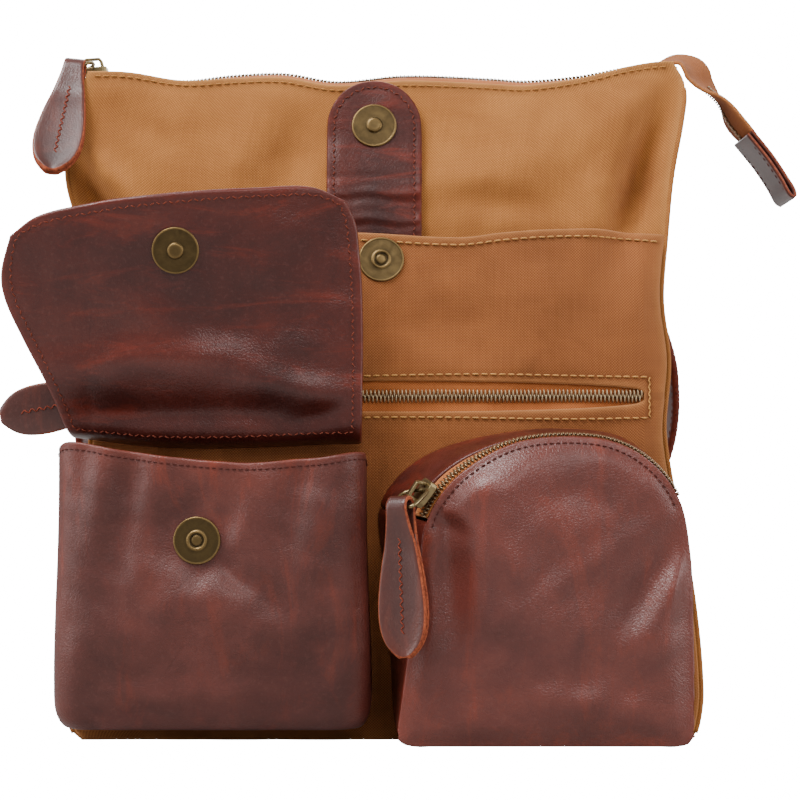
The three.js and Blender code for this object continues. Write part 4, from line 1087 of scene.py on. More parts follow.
def ring_quads(rings: int, around: int, closed: bool = False) -> Array:
    """Quads that join rings of points, each ring to the next.

    Args:
        rings: how many rings there are.
        around: how many points each ring has.
        closed: whether the last ring joins the first.

    Returns:
        The quads, four point numbers each.
    """
    numbers = np.arange(rings * around).reshape(rings, around)
    near, far = (numbers, np.roll(numbers, -1, 0)) if closed else (numbers[:-1], numbers[1:])
    return np.stack([near, np.roll(near, -1, 1), np.roll(far, -1, 1), far], axis=-1).reshape(-1, 4)


def dense_line(points: Sequence[tuple[float, float]], step: float = 0.8) -> Array:
    """A smooth line through places seen from the front, cut finely."""
    path = SmoothPath([(x, 0.0, z) for x, z in points])
    return path.along(np.linspace(0, 1, max(int(path.length / step), 8)))


@dataclass(frozen=True)
class Stitch:
    """The size of one stitch, in millimetres."""

    length: float = 2.7
    gap: float = 0.9
    radius: float = 0.34
    zigzag: float = 0.0
    stand: float = 0.35

    RINGS = ((0.0, 0.45, -0.75), (0.14, 0.9, 0.0), (0.5, 1.0, 0.3), (0.86, 0.9, 0.0), (1.0, 0.45, -0.75))
    AROUND = 6

    def sew(self, points: Array, normals: Array) -> MeshParts:
        """Sews a row of stitches along points on a surface.

        Args:
            points: the row's points, in millimetres.
            normals: the surface's normals there.

        Returns:
            The row's mesh parts.
        """
        walked = walked_along(points)
        count = max(int(walked[-1] / (self.length + self.gap)), 1)
        starts = (np.arange(count) + 0.5) * walked[-1] / count - self.length / 2
        first, last = read_at(walked, points, starts), read_at(walked, points, starts + self.length)
        normal = unit(read_at(walked, normals, starts + self.length / 2))
        if self.zigzag:
            sway = unit(np.cross(last - first, normal)) * self.zigzag / 2
            swing = np.where(np.arange(count) % 2 == 0, 1.0, -1.0)[:, None]
            first, last = first + sway * swing, last - sway * swing
        heading = unit(last - first)
        across = unit(np.cross(heading, normal))
        rings = np.array(self.RINGS)
        middle = first[:, None, :] + (last - first)[:, None, :] * rings[None, :, :1]
        middle = middle + normal[:, None, :] * ((rings[None, :, 2:] + self.stand) * self.radius)
        turn = turns_round(self.AROUND)[None, :, None]
        ring = np.cos(turn) * across[:, None, :] + np.sin(turn) * normal[:, None, :]
        wide = (rings[None, :, 1] * self.radius)[:, :, None, None]
        body = (middle[:, :, None, :] + ring[:, None, :, :] * wide).reshape(-1, 3)
        size = len(rings) * self.AROUND
        quads, corners = ring_quads(len(rings), self.AROUND), np.arange(self.AROUND)
        faces = []
        for shift in range(0, count * size, size):
            faces.extend((quads + shift).tolist())
            faces.append((corners[::-1] + shift).tolist())
            faces.append((corners + shift + size - self.AROUND).tolist())
        return MeshParts(body, faces)


def gather(parts: Sequence[MeshParts]) -> MeshParts:
    """Joins the points and the faces of mesh parts that store nothing else.

    Args:
        parts: the parts.

    Returns:
        All of them as one.
    """
    faces, shift = [], 0
    for part in parts:
        faces.extend([[corner + shift for corner in face] for face in part.faces])
        shift += len(part.points)
    return MeshParts(np.vstack([part.points for part in parts]), faces)


def sew_on(lines: Sequence[Array], ground: Ground, stitch: Stitch) -> MeshParts:
    """Sews rows on a front surface along lines of places."""
    return gather([stitch.sew(*on_ground(line[:, 0], line[:, 2], ground)) for line in lines])


@dataclass(frozen=True)
class Chain:
    """A closed metal zip chain: two rows of teeth that stand between each other."""

    pitch: float = 1.55
    reach: float = 3.0
    thick: float = 0.95
    height: float = 1.5

    LAYERS = ((0.0, 1.0, -0.9, 1.0), (0.62, 1.0, -0.95, 1.0), (1.0, 0.62, -0.62, 0.72))

    def lay(self, points: Array, sides: Array, outs: Array) -> MeshParts:
        """Lays teeth along a line.

        Args:
            points: the chain's middle line, on its tape.
            sides: unit directions across the chain.
            outs: unit directions out of the tape.

        Returns:
            The teeth's mesh parts.
        """
        walked = walked_along(points)
        count = int(walked[-1] / (self.pitch / 2))
        at = (np.arange(count) + 0.5) * walked[-1] / count
        middle, side, out = (read_at(walked, values, at) for values in (points, sides, outs))
        hand = np.where(np.arange(count) % 2 == 0, 1.0, -1.0)[:, None]
        side, out = unit(side) * hand, unit(out)
        ahead = unit(np.cross(side, out)) * self.thick / 2
        layers = []
        for rise, narrow, inner, outer in self.LAYERS:
            near = middle + side * (inner * self.reach / 3) + out * rise * self.height
            far = middle + side * (outer * self.reach) + out * rise * self.height
            layers += [near - ahead * narrow, near + ahead * narrow]
            layers += [far + ahead * narrow, far - ahead * narrow]
        corners = np.stack(layers, axis=1)
        pattern = [[3, 2, 1, 0], [8, 9, 10, 11]]
        for low in (0, 4):
            for corner in range(4):
                after = (corner + 1) % 4
                pattern.append([low + corner, low + after, low + 4 + after, low + 4 + corner])
        pattern = np.array(pattern)
        faces = []
        for number in range(count):
            quads = pattern if hand[number, 0] < 0 else pattern[:, ::-1]
            faces.extend((quads + len(layers) * number).tolist())
        edge = np.tile(np.repeat([0.1, 0.5, 1.0], 4), count)
        return MeshParts(corners.reshape(-1, 3), faces, edge=edge)


def round_modifier(piece: bpy.types.Object, levels: int = 1) -> None:
    """Rounds a piece by subdividing it.

    Args:
        piece: the piece.
        levels: how often it is subdivided.
    """
    modifier = piece.modifiers.new("rounding", "SUBSURF")
    modifier.levels = levels
    modifier.render_levels = levels


def bevel_modifier(piece: bpy.types.Object, width: float, segments: int = 3) -> None:
    """Breaks the sharp edges of a piece.

    Args:
        piece: the piece.
        width: the width of the broken edge, in millimetres.
        segments: how many faces round it.
    """
    modifier = piece.modifiers.new("edges", "BEVEL")
    modifier.width = width * MM
    modifier.segments = segments
    modifier.limit_method = "ANGLE"


def swept_wire(
    path: SmoothPath, radius: float, closed: bool, steps: int = 72, around: int = 12,
) -> MeshParts:
    """Sweeps a round wire along a line that bends about the depth direction.

    Args:
        path: the wire's middle line.
        radius: the wire's radius.
        closed: whether the wire joins its own start.
        steps: how many rings of points it has.
        around: how many points each ring has.

    Returns:
        The wire's mesh parts.
    """
    share = np.linspace(0, 1, steps, endpoint=not closed)
    middle = path.along(share)
    ahead = unit(np.roll(middle, -1, 0) - np.roll(middle, 1, 0)) if closed else path.heading(share)
    out = unit(np.cross(ahead, np.array([0.0, 1.0, 0.0])))
    up = unit(np.cross(out, ahead))
    turn = turns_round(around)[None, :, None]
    ring = np.cos(turn) * out[:, None, :] + np.sin(turn) * up[:, None, :]
    points = (middle[:, None, :] + radius * ring).reshape(-1, 3)
    faces = ring_quads(steps, around, closed)[:, [0, 3, 2, 1]].tolist()
    if not closed:
        corners = np.arange(around)
        faces += [corners.tolist(), (corners[::-1] + (steps - 1) * around).tolist()]
    return MeshParts(points, faces)


def lathed(profile: Sequence[tuple[float, float, float]], around: int = 56) -> MeshParts:
    """Turns a profile round the -Y direction.

    Args:
        profile: radius, rise and rubbed shine of each ring.
        around: how many points each ring has.

    Returns:
        The closed turned body.
    """
    turn = turns_round(around)
    rings = [spots(radius * np.cos(turn), -rise, radius * np.sin(turn)) for radius, rise, _ in profile]
    corners = np.arange(around)
    faces = ring_quads(len(profile), around).tolist()
    faces += [corners[::-1].tolist(), (corners + (len(profile) - 1) * around).tolist()]
    return MeshParts(np.vstack(rings), faces, edge=np.repeat([row[2] for row in profile], around))


def placed(parts: MeshParts, turn: Array, at: Array) -> MeshParts:
    """Turns mesh parts by a matrix whose columns are their new axes, and moves them."""
    return replace(parts, points=parts.points @ turn.T + at)


def axes_towards(outward: Array) -> Array:
    """The turn that takes -Y to a direction and keeps Z as upright as it can.

    Args:
        outward: the direction.

    Returns:
        A matrix whose columns are the turned axes.
    """
    y = -unit(np.asarray(outward, float))
    x = unit(np.cross(y, np.array([0.0, 0.0, 1.0])))
    return np.stack([x, y, np.cross(x, y)], axis=1)


def hanging(bar: Sequence[float], down: Sequence[float]) -> Array:
    """The turn that takes X to one direction and -Z as near as it can be to another.

    Args:
        bar: the direction for X.
        down: the direction for -Z.

    Returns:
        A matrix whose columns are the turned axes.
    """
    x = unit(np.asarray(bar, float))
    y = unit(np.cross(-np.asarray(down, float), x))
    return np.stack([x, y, np.cross(x, y)], axis=1)


# The bag's own sub-assemblies


@dataclass
class CanvasBody:
    """Front, back and gusset of the body, with the rolled side seams and the top stitching."""

    step: float = 2.2
    welt: float = 1.15
    gusset_top: float = 0.975
    foot_round: float = 4.2
    seam_drop: float = 2.4
    seam_from: float = -119
    seam_to: float = 115
    roll_from: float = 3
    roll_to: float = 262
    back_step: float = 3.4

    def panel(self, ground: Ground, step: float) -> Array:
        """Grid of a panel between the sides, from the floor to the top seam.

        Args:
            ground: the panel's outer face.
            step: the usual size of a cell.

        Returns:
            The grid.
        """

        def place(column: Array, row: Array) -> Array:
            """A point of the panel."""
            z = row * FORM.height
            x = mix(FORM.side(Side.LEFT, z), FORM.side(Side.RIGHT, z), column)
            z = row * FORM.top(x)
            return spots(x, ground(x, z), z)

        return grid_of(shares(FORM.width, step, 1.2), shares(FORM.height, step, 1.2), place)

    def build(self) -> None:
        """Builds the canvas pieces of the body."""
        top_x = np.linspace(self.seam_from, self.seam_to, 300)
        top_line = spots(top_x, 0.0, FORM.top(top_x) - self.seam_drop)
        seam = laid(top_line, FORM.front)
        front = Sheet(self.panel(FORM.front, self.step), FORM.canvas, seams=[seam], seam_depth=0.3)
        make_piece("canvas_front", front.build(), [CANVAS, CANVAS], ["front_panel"])
        back = Sheet(self.panel(FORM.back, self.back_step), FORM.canvas, facing=(0, 1, 0))
        make_piece("canvas_back", back.build(), [CANVAS, CANVAS], ["back_panel"])
        self.gusset()
        self.welts()
        sewn = sew_on([top_line], FORM.front, Stitch(length=2.4, gap=0.9, radius=0.36, stand=0.6))
        make_piece("top_seam_stitches", sewn, [TAN_THREAD])

    def gusset(self) -> None:
        """Builds the strip down the left side, under the base and up the right side."""
        heights = np.linspace(self.gusset_top * FORM.height, self.foot_round, 70)
        bend = np.linspace(0, math.pi / 2, 7)[1:-1]
        radius = self.foot_round
        flanks = []
        for side in Side:
            inward = -float(side.value)
            foot = FORM.side(side, 0)
            rows = [(FORM.side(side, z), z, inward) for z in heights]
            for turn in bend:
                across = foot + inward * radius * (1 - math.cos(turn))
                rows.append((across, radius * (1 - math.sin(turn)), 0.0))
            flanks.append(rows)
        ends = (FORM.side(Side.LEFT, 0) + radius, FORM.side(Side.RIGHT, 0) - radius)
        base = [(x, 0.0, 0.0) for x in np.linspace(*ends, 60)]
        stations = np.array(flanks[0] + base + flanks[1][::-1], float)
        wrinkle = SoftNoise(21, 26)

        def place(column: Array, row: Array) -> Array:
            """A point of the gusset."""
            station = stations[np.round(row * (len(stations) - 1)).astype(int)]
            x, z, inward = station[..., 0], station[..., 1], station[..., 2]
            front = FORM.front(x, z) + FORM.canvas + FORM.seam_gap
            back = FORM.back(x, z) - FORM.canvas - FORM.seam_gap
            reach = 2 * column - 1
            rise = smooth(z / FORM.height - 0.08)
            pinch = (FORM.pinch + 1.2 * wrinkle(column * 60, z)) * (1 - reach**2) * rise
            return spots(x + inward * pinch, mix(front, back, column), z)

        grid = grid_of(np.linspace(0, 1, 29), np.linspace(0, 1, len(stations)), place)
        sheet = Sheet(grid, FORM.canvas, normal=normals_of(grid, (0, 0, -1), (len(stations) // 2, 14)))
        make_piece("canvas_gusset", sheet.build(), [CANVAS, CANVAS], ["gusset"])

    def welts(self) -> None:
        """Builds the rolled seams along the four upright edges."""
        rolls = []
        for side in Side:
            for ground, inner in ((FORM.front, 1), (FORM.back, -1)):
                z = np.linspace(self.roll_from, self.roll_to, 90)
                x = FORM.side(side, z) - side.value * 0.4
                y = ground(x, z) + inner * FORM.canvas * 0.6
                path = SmoothPath(spots(x, y, z), samples=2)
                rolls.append(swept_wire(path, self.welt, False, steps=160, around=10))
        make_piece("side_seam_rolls", gather(rolls), [CANVAS])


@dataclass
class PatchPocket:
    """The canvas pocket over the front, with its slit, its stitching and the zip behind it."""

    inset: float = 1.5
    step: float = 2.4
    tape_reach: float = 11
    edge_from: float = -10
    edge_to: float = 109
    edge_drop: float = 3.2
    row_above: float = 8.1
    row_below: float = 8.6
    row_end: float = 104.5

    def build(self) -> None:
        """Builds the pocket, its threads and its zip."""
        self.cloth()
        self.threads()
        self.zip()

    def cloth(self) -> None:
        """Builds the cloth of the pocket with the slit open."""
        beside = shares(32, self.step, 1.2)[:-4]
        beside = beside / beside[-1] * 0.97
        slit_x = np.linspace(FORM.slit_left, FORM.slit_right, 81)
        low = FORM.patch_height * 0.002
        below = np.concatenate([shares(130, self.step, 1.2)[:-4], [0.985, 0.994, 1.0]])
        above = np.concatenate([[0.0, 0.014, 0.04], shares(60, self.step, 1.2)[4:]])
        columns = len(beside) + len(slit_x) + len(beside)
        rows = len(below) + len(above)
        grid = np.zeros((rows, columns, 3))
        for row in range(rows):
            lower = row < len(below)
            share = below[row] if lower else above[row - len(below)]
            ends = (0, FORM.slit_height) if lower else (FORM.slit_height, FORM.patch_height)
            level = mix(*ends, share)
            left = FORM.side(Side.LEFT, level) + self.inset
            right = FORM.side(Side.RIGHT, level) - self.inset
            x = np.concatenate([
                mix(left, FORM.slit_left, beside),
                slit_x,
                mix(right, FORM.slit_right, beside)[::-1],
            ])
            half = FORM.slit_half(x)
            if lower:
                z = mix(low, FORM.slit_height - half, share)
            else:
                z = mix(FORM.slit_height + half, FORM.patch_top(x), share)
            grid[row, :, 0], grid[row, :, 2] = x, z
        grid[:, :, 1] = FORM.patch(grid[:, :, 0], grid[:, :, 2])
        hidden = np.zeros((rows - 1, columns - 1), bool)
        hidden[len(below) - 1, len(beside):len(beside) + len(slit_x) - 1] = True
        seams = [laid(line, FORM.patch) for line in self.lines()]
        sheet = Sheet(grid, FORM.canvas, hidden=hidden, seams=seams, seam_depth=0.3, seam_width=1.4)
        # the darker patch canvas carries painted shade
        cloths = [SHADED_PATCH_CANVAS, SHADED_PATCH_CANVAS]
        make_piece("canvas_patch_pocket", sheet.build(), cloths, ["canvas_pocket"])

    def lines(self) -> list[Array]:
        """The pocket's stitch lines: upper edge, above the slit, below it and beside it."""
        x = np.linspace(self.edge_from, self.edge_to, 150)
        top = spots(x, 0.0, FORM.patch_top(x) - self.edge_drop)
        along = np.linspace(-100, 104, 220)
        rise = FORM.slit_height + self.row_above + 0.5 * np.sin(along / 23)
        drop = FORM.slit_height - self.row_below + 0.4 * np.sin(along / 19 + 1)
        upper, lower = spots(along, 0.0, rise), spots(along, 0.0, drop)
        end = spots(self.row_end, 0.0, np.linspace(float(drop[-1]), float(rise[-1]), 24))
        return [top, upper, lower, end]

    def threads(self) -> None:
        """Sews the pocket's stitch rows."""
        stitch = Stitch(length=2.6, gap=0.9, radius=0.4, stand=0.7)
        lines = self.lines()
        zigzag = Stitch(length=1.7, gap=-0.4, radius=0.32, zigzag=0.8)
        make_piece("patch_stitches", sew_on(lines[:3], FORM.patch, stitch), [GOLD_THREAD])
        make_piece("slit_end_stitches", sew_on(lines[3:], FORM.patch, zigzag), [GOLD_THREAD])

    def zip(self) -> None:
        """Builds the tape and the chain behind the slit."""
        face = FORM.canvas + FORM.seam_gap
        x = np.linspace(FORM.slit_left - 4, FORM.slit_right + 4, 110)
        z = FORM.slit_height + np.linspace(-self.tape_reach, self.tape_reach, 19)

        def place(column: Array, row: Array) -> Array:
            """A point of the tape."""
            return spots(column, FORM.patch(column, row) + face, row)

        middle = place(x, np.full(len(x), FORM.slit_height))
        tape = Sheet(grid_of(x, z, place), FORM.tape, seams=[middle], seam_depth=0.0, seam_width=2.6)
        make_piece("front_zip_tape_cloth", tape.build(), [TAPE, TAPE], ["front_zip_tape"])
        line = np.linspace(FORM.slit_left + 1, FORM.slit_right - 1, 200)
        height = np.full(len(line), FORM.slit_height)
        points, outs = on_ground(line, height, lambda x, z: FORM.patch(x, z) + face)
        sides = np.tile([0.0, 0.0, 1.0], (len(line), 1))
        teeth = Chain().lay(points, sides, outs)
        piece = make_piece("front_zip_teeth", teeth, [TEETH], ["front_zip_chain"])
        round_modifier(piece)


@dataclass
class TopZip:
    """The zip that closes the mouth, between the front and the back panel."""

    rise: float = 1.4
    fall: float = 3.4
    chain_lift: float = 0.15

    SINK = SmoothTable([
        (-1, 4.8), (-0.8, 3.0), (-0.55, 0.2), (0, -0.8), (0.4, -0.9), (0.65, 0.6), (0.85, 2.0), (1, 2.2),
    ])

    def level(self, x: Array) -> Array:
        """Height of the tapes' inner edges, which sink between the panels near both ends."""
        return FORM.top(x) + self.rise - self.SINK(np.asarray(x, float) / FORM.half)

    @property
    def ends(self) -> tuple[float, float]:
        """Where the zip starts and ends across the bag."""
        top = 0.975 * FORM.height
        margin = FORM.canvas + 2 * FORM.seam_gap
        return float(FORM.side(Side.LEFT, top)) + margin, float(FORM.side(Side.RIGHT, top)) - margin

    def build(self) -> None:
        """Builds both tapes and the chain."""
        start, end = self.ends
        x = np.linspace(start, end, 120)
        for name, sign, node in (("front", -1, "top_zip_tape_front"), ("back", 1, "top_zip_tape_back")):

            def place(column: Array, row: Array) -> Array:
                """A point of the tape."""
                panel = FORM.front if sign < 0 else FORM.back
                inner = panel(row, FORM.top(row)) - sign * (FORM.canvas + FORM.seam_gap)
                y = mix(sign * FORM.seam_gap, inner, column)
                z = mix(self.level(row), FORM.top(row) + self.rise - self.fall, column**4)
                return spots(row, y, z)

            tape = Sheet(grid_of(np.linspace(0, 1, 15), x, place), FORM.tape, facing=(0, 0, 1))
            make_piece(f"top_zip_tape_{name}_cloth", tape.build(), [TAPE, TAPE], [node])
        points = spots(x, 0.0, self.level(x) + self.chain_lift)
        ahead = unit(np.gradient(points, axis=0))
        sides = np.tile([0.0, 1.0, 0.0], (len(x), 1))
        teeth = Chain().lay(points, sides, unit(np.cross(ahead, sides)))
        piece = make_piece("top_zip_teeth", teeth, [BRASS], ["top_zip_chain"])
        round_modifier(piece)


@dataclass
class Snap:
    """One half of a magnetic snap."""

    name: str
    half: SnapHalf
    x: float
    z: float
    ground: Ground
    node: str
    radius: float = 9.0
    clearance: float = 0.05

    RIM = (
        (1.0, -1.1, 0.3), (1.0, 0.32, 0.8), (0.985, 0.52, 1.0), (0.955, 0.6, 0.95), (0.925, 0.54, 0.5),
        (0.905, 0.48, 0.2),
    )
    STUD = RIM + (
        (0.88, 0.47, 0.2), (0.6, 0.5, 0.28), (0.4, 0.5, 0.2), (0.36, 0.52, 0.1), (0.345, 0.66, 0.5),
        (0.33, 1.3, 0.8), (0.29, 1.55, 1.0), (0.22, 1.66, 0.5), (0.12, 1.64, 0.35), (0.04, 1.64, 0.35),
    )
    SOCKET = RIM + (
        (0.88, 0.47, 0.25), (0.6, 0.5, 0.32), (0.46, 0.5, 0.2), (0.43, 0.56, 0.6), (0.41, 0.86, 1.0),
        (0.37, 0.95, 1.0), (0.33, 0.86, 0.7), (0.3, 0.4, 0.1), (0.24, 0.2, 0.0), (0.22, 0.6, 0.3),
        (0.16, 0.72, 0.6), (0.04, 0.72, 0.5),
    )

    def build(self) -> None:
        """Builds the snap half, seated where its whole rim clears its ground."""
        profile = self.STUD if self.half is SnapHalf.STUD else self.SOCKET
        rows = [(out * self.radius, rise, shine) for out, rise, shine in profile]
        turn = turns_round(16)
        x = self.x + np.append(self.radius * np.cos(turn), 0.0)
        z = self.z + np.append(self.radius * np.sin(turn), 0.0)
        points, normals = on_ground(x, z, self.ground)
        outward = unit(normals.mean(axis=0))
        rise = ((points - points[-1]) @ outward).max() + self.clearance
        parts = placed(lathed(rows), axes_towards(outward), points[-1] + outward * rise)
        make_piece(self.name, parts, [BRASS], [self.node])


@dataclass
class ClosingTab:
    """The leather tab at the middle of the mouth, two layers thick, with its snap."""

    width: float = 38
    middle: float = -4.4
    top: float = 264.5
    foot: float = 184
    wall: float = 3.4
    snap_height: float = 245.5
    socket_height: float = 190.5

    def ground(self, x: Array, z: Array) -> Array:
        """The tab's outer face: it bends a little forward above its wrinkles.

        Args:
            x: the places across.
            z: the places up.

        Returns:
            Where the face is in depth.
        """
        ripple = 0.3 * np.sin(1.25 * z + 0.9 * np.sin(0.24 * x) + 0.7 * np.sin(0.31 * z))
        wave = 0.35 * np.sin((z - 205) * 0.55 + 0.05 * (x - self.middle))
        wrinkles = (wave + ripple) * np.exp(-(((z - 211) / 13) ** 2))
        curl = 1.2 * smooth((z - 240) / 25)
        return FORM.front(x, z) - FORM.seam_gap - self.wall - wrinkles - curl

    def outline(self) -> Place:
        """The tab's shape, seen from the front."""
        radius = self.width / 2

        def arc(*degrees: float) -> list:
            """Places on the round end."""
            turns = np.radians(degrees)
            centre = self.top - radius
            return list(spots(self.middle + radius * np.cos(turns), 0.0, centre + radius * np.sin(turns)))

        def flank(x: float, *degrees: float) -> Line:
            """One side of the tab, up to the round end."""
            knee = mix(self.foot, self.top, 0.35)
            return SmoothPath([(x, 0, self.foot), (x, 0, knee), *arc(*degrees)]).along

        left, right = self.middle - radius, self.middle + radius
        return filled(
            straight((left, 0, self.foot), (right, 0, self.foot)),
            SmoothPath(arc(*range(150, 29, -15))).along,
            flank(left, 180, 165, 150),
            flank(right, 0, 15, 30),
        )

    def build(self) -> None:
        """Builds both layers, the stitches and the snap."""
        place = self.outline()

        def layer(lift: float) -> Array:
            """Grid of a layer, by how far its face lies behind the front one."""
            face = draped(place, lambda x, z: self.ground(x, z) + lift)
            return grid_of(shares(self.width, 1.2, 0.9), shares(80, 1.2, 0.9), face)

        inset, centre = 2.9, self.top - self.width / 2
        reach = self.width / 2 - inset
        turns = np.radians(np.linspace(180, 0, 40))
        arch = [(self.middle + reach * math.cos(turn), centre + reach * math.sin(turn)) for turn in turns]
        heights = np.linspace(self.foot + 6, centre, 20)
        left = [(self.middle - reach, z) for z in heights]
        right = [(self.middle + reach, z) for z in heights[::-1]]
        line = dense_line(left[:-1] + arch + right[1:])
        seam = laid(line, self.ground)
        wall = self.wall / 2
        front = Sheet(layer(0.0), wall * 0.97, seams=[seam], seam_depth=0.3, seam_width=1.2)
        rear = Sheet(layer(wall), wall * 0.97)
        make_piece("tab_leather_front", front.build(), [TAB_LEATHER, DARK_EDGE], ["closing_tab"])
        make_piece("tab_leather_rear", rear.build(), [FLAP_AND_SHADED_LEATHER, DARK_EDGE])
        stitch = Stitch(length=1.5, gap=0.9, radius=0.26, zigzag=0.8)
        make_piece("tab_stitches", sew_on([line], self.ground, stitch), [FLAP_THREAD])
        stud = (self.middle, self.snap_height, self.ground, "tab_snap_stud")
        socket = (self.middle + 3, self.socket_height, FORM.patch, "pocket_snap_socket")
        Snap("tab_snap", SnapHalf.STUD, *stud).build()
        Snap("patch_snap", SnapHalf.SOCKET, *socket).build()


@dataclass
class LeftPocket:
    """The open leather box at the lower left."""

    width: float = 122
    left: float = -127
    foot: float = 9
    height: float = 108
    depth: float = 36
    corner: float = 11
    girth: float = 185
    seam_drop: float = 2.8
    side_room: float = 4
    pucker: float = 2.8
    pucker_reach: float = 9
    ray: float = 0.5
    rays: int = 6
    snap_x: float = -70.6
    snap_z: float = 82

    MOUTH = SmoothTable([
        (0, 0.955), (0.12, 0.985), (0.2, 1.02), (0.34, 0.985), (0.56, 0.95), (0.72, 0.965), (0.82, 0.985),
        (1, 0.95),
    ])
    GROW = SmoothTable([
        (0, 0.9), (0.02, 0.96), (0.07, 1.0), (0.16, 1.02), (0.3, 1.03), (0.45, 1.03), (0.6, 1.02),
        (0.74, 1.0), (0.87, 0.99), (1, 1.0),
    ])
    SPREAD = SmoothTable([
        (0, 0.935), (0.02, 0.965), (0.07, 0.995), (0.16, 1.0), (0.3, 0.995), (0.45, 0.985), (0.6, 0.975),
        (0.74, 0.97), (0.87, 0.968), (1, 0.968),
    ])
    FOLDS = (
        Fold(-108, 98, 24, 7, 80, 3.4),
        Fold(-97, 98, 22, 6, 86, -2.6),
        Fold(-86, 100, 20, 7, 84, 1.8),
        Fold(-50, 92, 16, 7, 70, 2.2),
        Fold(-52, 66, 24, 6, -34, -2.4),
        Fold(-58, 54, 28, 9, -22, 1.8),
        Fold(-100, 46, 28, 11, 30, 1.8),
        Fold(-24, 92, 22, 7, 75, 2.0),
        Fold(-34, 96, 22, 5, 80, -1.6),
        Fold(-70, 22, 40, 7, 3, 1.6),
        Fold(-28, 34, 24, 8, 60, -1.4),
    )
    ROUGH = SoftNoise(31, 17)

    def way_round(self, way: Array, width: Array, depth: Array) -> tuple[Array, Array]:
        """The way round the box as seen from above.

        Args:
            way: share of the way round.
            width: the box's width there.
            depth: the box's depth there.

        Returns:
            The places across and forward.
        """
        radius = np.minimum(self.corner, depth * 0.9)
        flank = depth - radius
        quarter = math.pi * radius / 2
        total = 2 * (flank + quarter) + width - 2 * radius
        walked = way * total
        mirrored = walked > total / 2
        step = np.where(mirrored, total - walked, walked)
        turn = np.clip((step - flank) / radius, 0, math.pi / 2)
        bent = radius * (1 - np.cos(turn)) + np.maximum(step - flank - quarter, 0)
        across = np.where(step < flank, 0.0, bent)
        forward = np.where(step < flank, step, flank + radius * np.sin(turn))
        return np.where(mirrored, width - across, across), forward

    def turn_way(self) -> float:
        """Share of the way round at which the box turns its corner."""
        flank = self.depth - self.corner
        quarter = math.pi * self.corner / 2
        return (flank + quarter / 2) / (2 * (flank + quarter) + self.width - 2 * self.corner)

    def relief(self, x: Array, z: Array) -> Array:
        """Soft folds of the leather, and the pucker round the snap.

        Args:
            x: the places across.
            z: the places up.

        Returns:
            How far the leather stands out.
        """
        away = np.hypot(x - self.snap_x, z - self.snap_z)
        calm = smooth((away - 8) / self.pucker_reach)
        bowl = self.pucker * np.exp(-((np.maximum(away - 9.5, 0) / self.pucker_reach) ** 2))
        rays = self.ray * np.cos(self.rays * np.arctan2(z - self.snap_z, x - self.snap_x))
        rays = rays * np.exp(-(((away - 15) / 3.5) ** 2))
        return (lift_of(self.FOLDS, x, z) + 0.3 * self.ROUGH(x, z)) * calm + rays - bowl

    def place(self, way: Array, up: Array, base: Array) -> Array:
        """A point of the outer face.

        Args:
            way: share of the way round.
            up: share of the height.
            base: share of the depth kept, below one only under the pocket.

        Returns:
            The point.
        """
        width = self.width * self.SPREAD(up)
        depth = np.maximum(self.depth * self.GROW(up) * base, 0.5)
        across, forward = self.way_round(way, width, depth)
        x = self.left + self.width / 2 - width / 2 + across
        z = self.foot + up * self.height * self.MOUTH(way)
        edge = np.clip(x, FORM.side(Side.LEFT, z) + self.side_room, FORM.half)
        rear = FORM.patch(edge, z) - FORM.seat_gap
        front_share = smooth((forward / depth - 0.7) / 0.3) * smooth(base * 4 - 3)
        return spots(x, rear - forward - self.relief(x, z) * front_share, z)

    def ground(self, x: Array, z: Array) -> Array:
        """The front face."""
        up = np.clip((z - self.foot) / (self.height * 0.965), 0, 1)
        return FORM.patch(x, z) - FORM.seat_gap - self.depth * self.GROW(up) - self.relief(x, z)

    def build(self) -> None:
        """Builds the leather, the stitches at the mouth and the snap."""
        ways = shares(self.girth, 1.7, 1.0)
        walls = np.append([0.004, 0.011], shares(self.height, 1.7, 1.0)[4:])
        bottom = np.linspace(0.02, 0.97, 12)
        columns, up = np.meshgrid(ways, np.append(np.zeros(len(bottom)), walls))
        base = np.meshgrid(ways, np.append(bottom, np.ones(len(walls))))[1]
        grid = self.place(columns, up, base)
        way = np.linspace(0.02, 0.98, 260)
        seam = self.seam(way)
        away = np.minimum(np.abs(columns - self.turn_way()), np.abs(1 - columns - self.turn_way()))
        sheet = Sheet(
            grid, FORM.leather, seams=[seam], seam_depth=0.25, seam_width=1.2,
            rub=np.exp(-((away * self.girth / 6) ** 2)),
            normal=normals_of(grid, (0, -1, 0), (len(grid) // 2, len(ways) // 2)),
        )
        leathers = [BOX_LEATHER, RAW_EDGE]
        make_piece("left_pocket_leather", sheet.build(), leathers, ["left_pocket"])
        outward = unit(np.cross(self.seam(way + 0.004) - seam, [0.0, 0.0, 1.0]))
        outward = np.where(outward[:, 1:2] > 0.2, -outward, outward)
        sewn = Stitch(length=1.7, gap=0.8, radius=0.24).sew(seam, outward)
        make_piece("left_pocket_stitches", sewn, [MAROON_THREAD])
        socket = (self.snap_x, self.snap_z, self.ground, "left_pocket_snap_socket")
        Snap("left_pocket_snap", SnapHalf.SOCKET, *socket).build()

    def seam(self, way: Array) -> Array:
        """The stitch line under the mouth."""
        return self.place(way, np.full_like(way, 1 - self.seam_drop / self.height), np.ones_like(way))


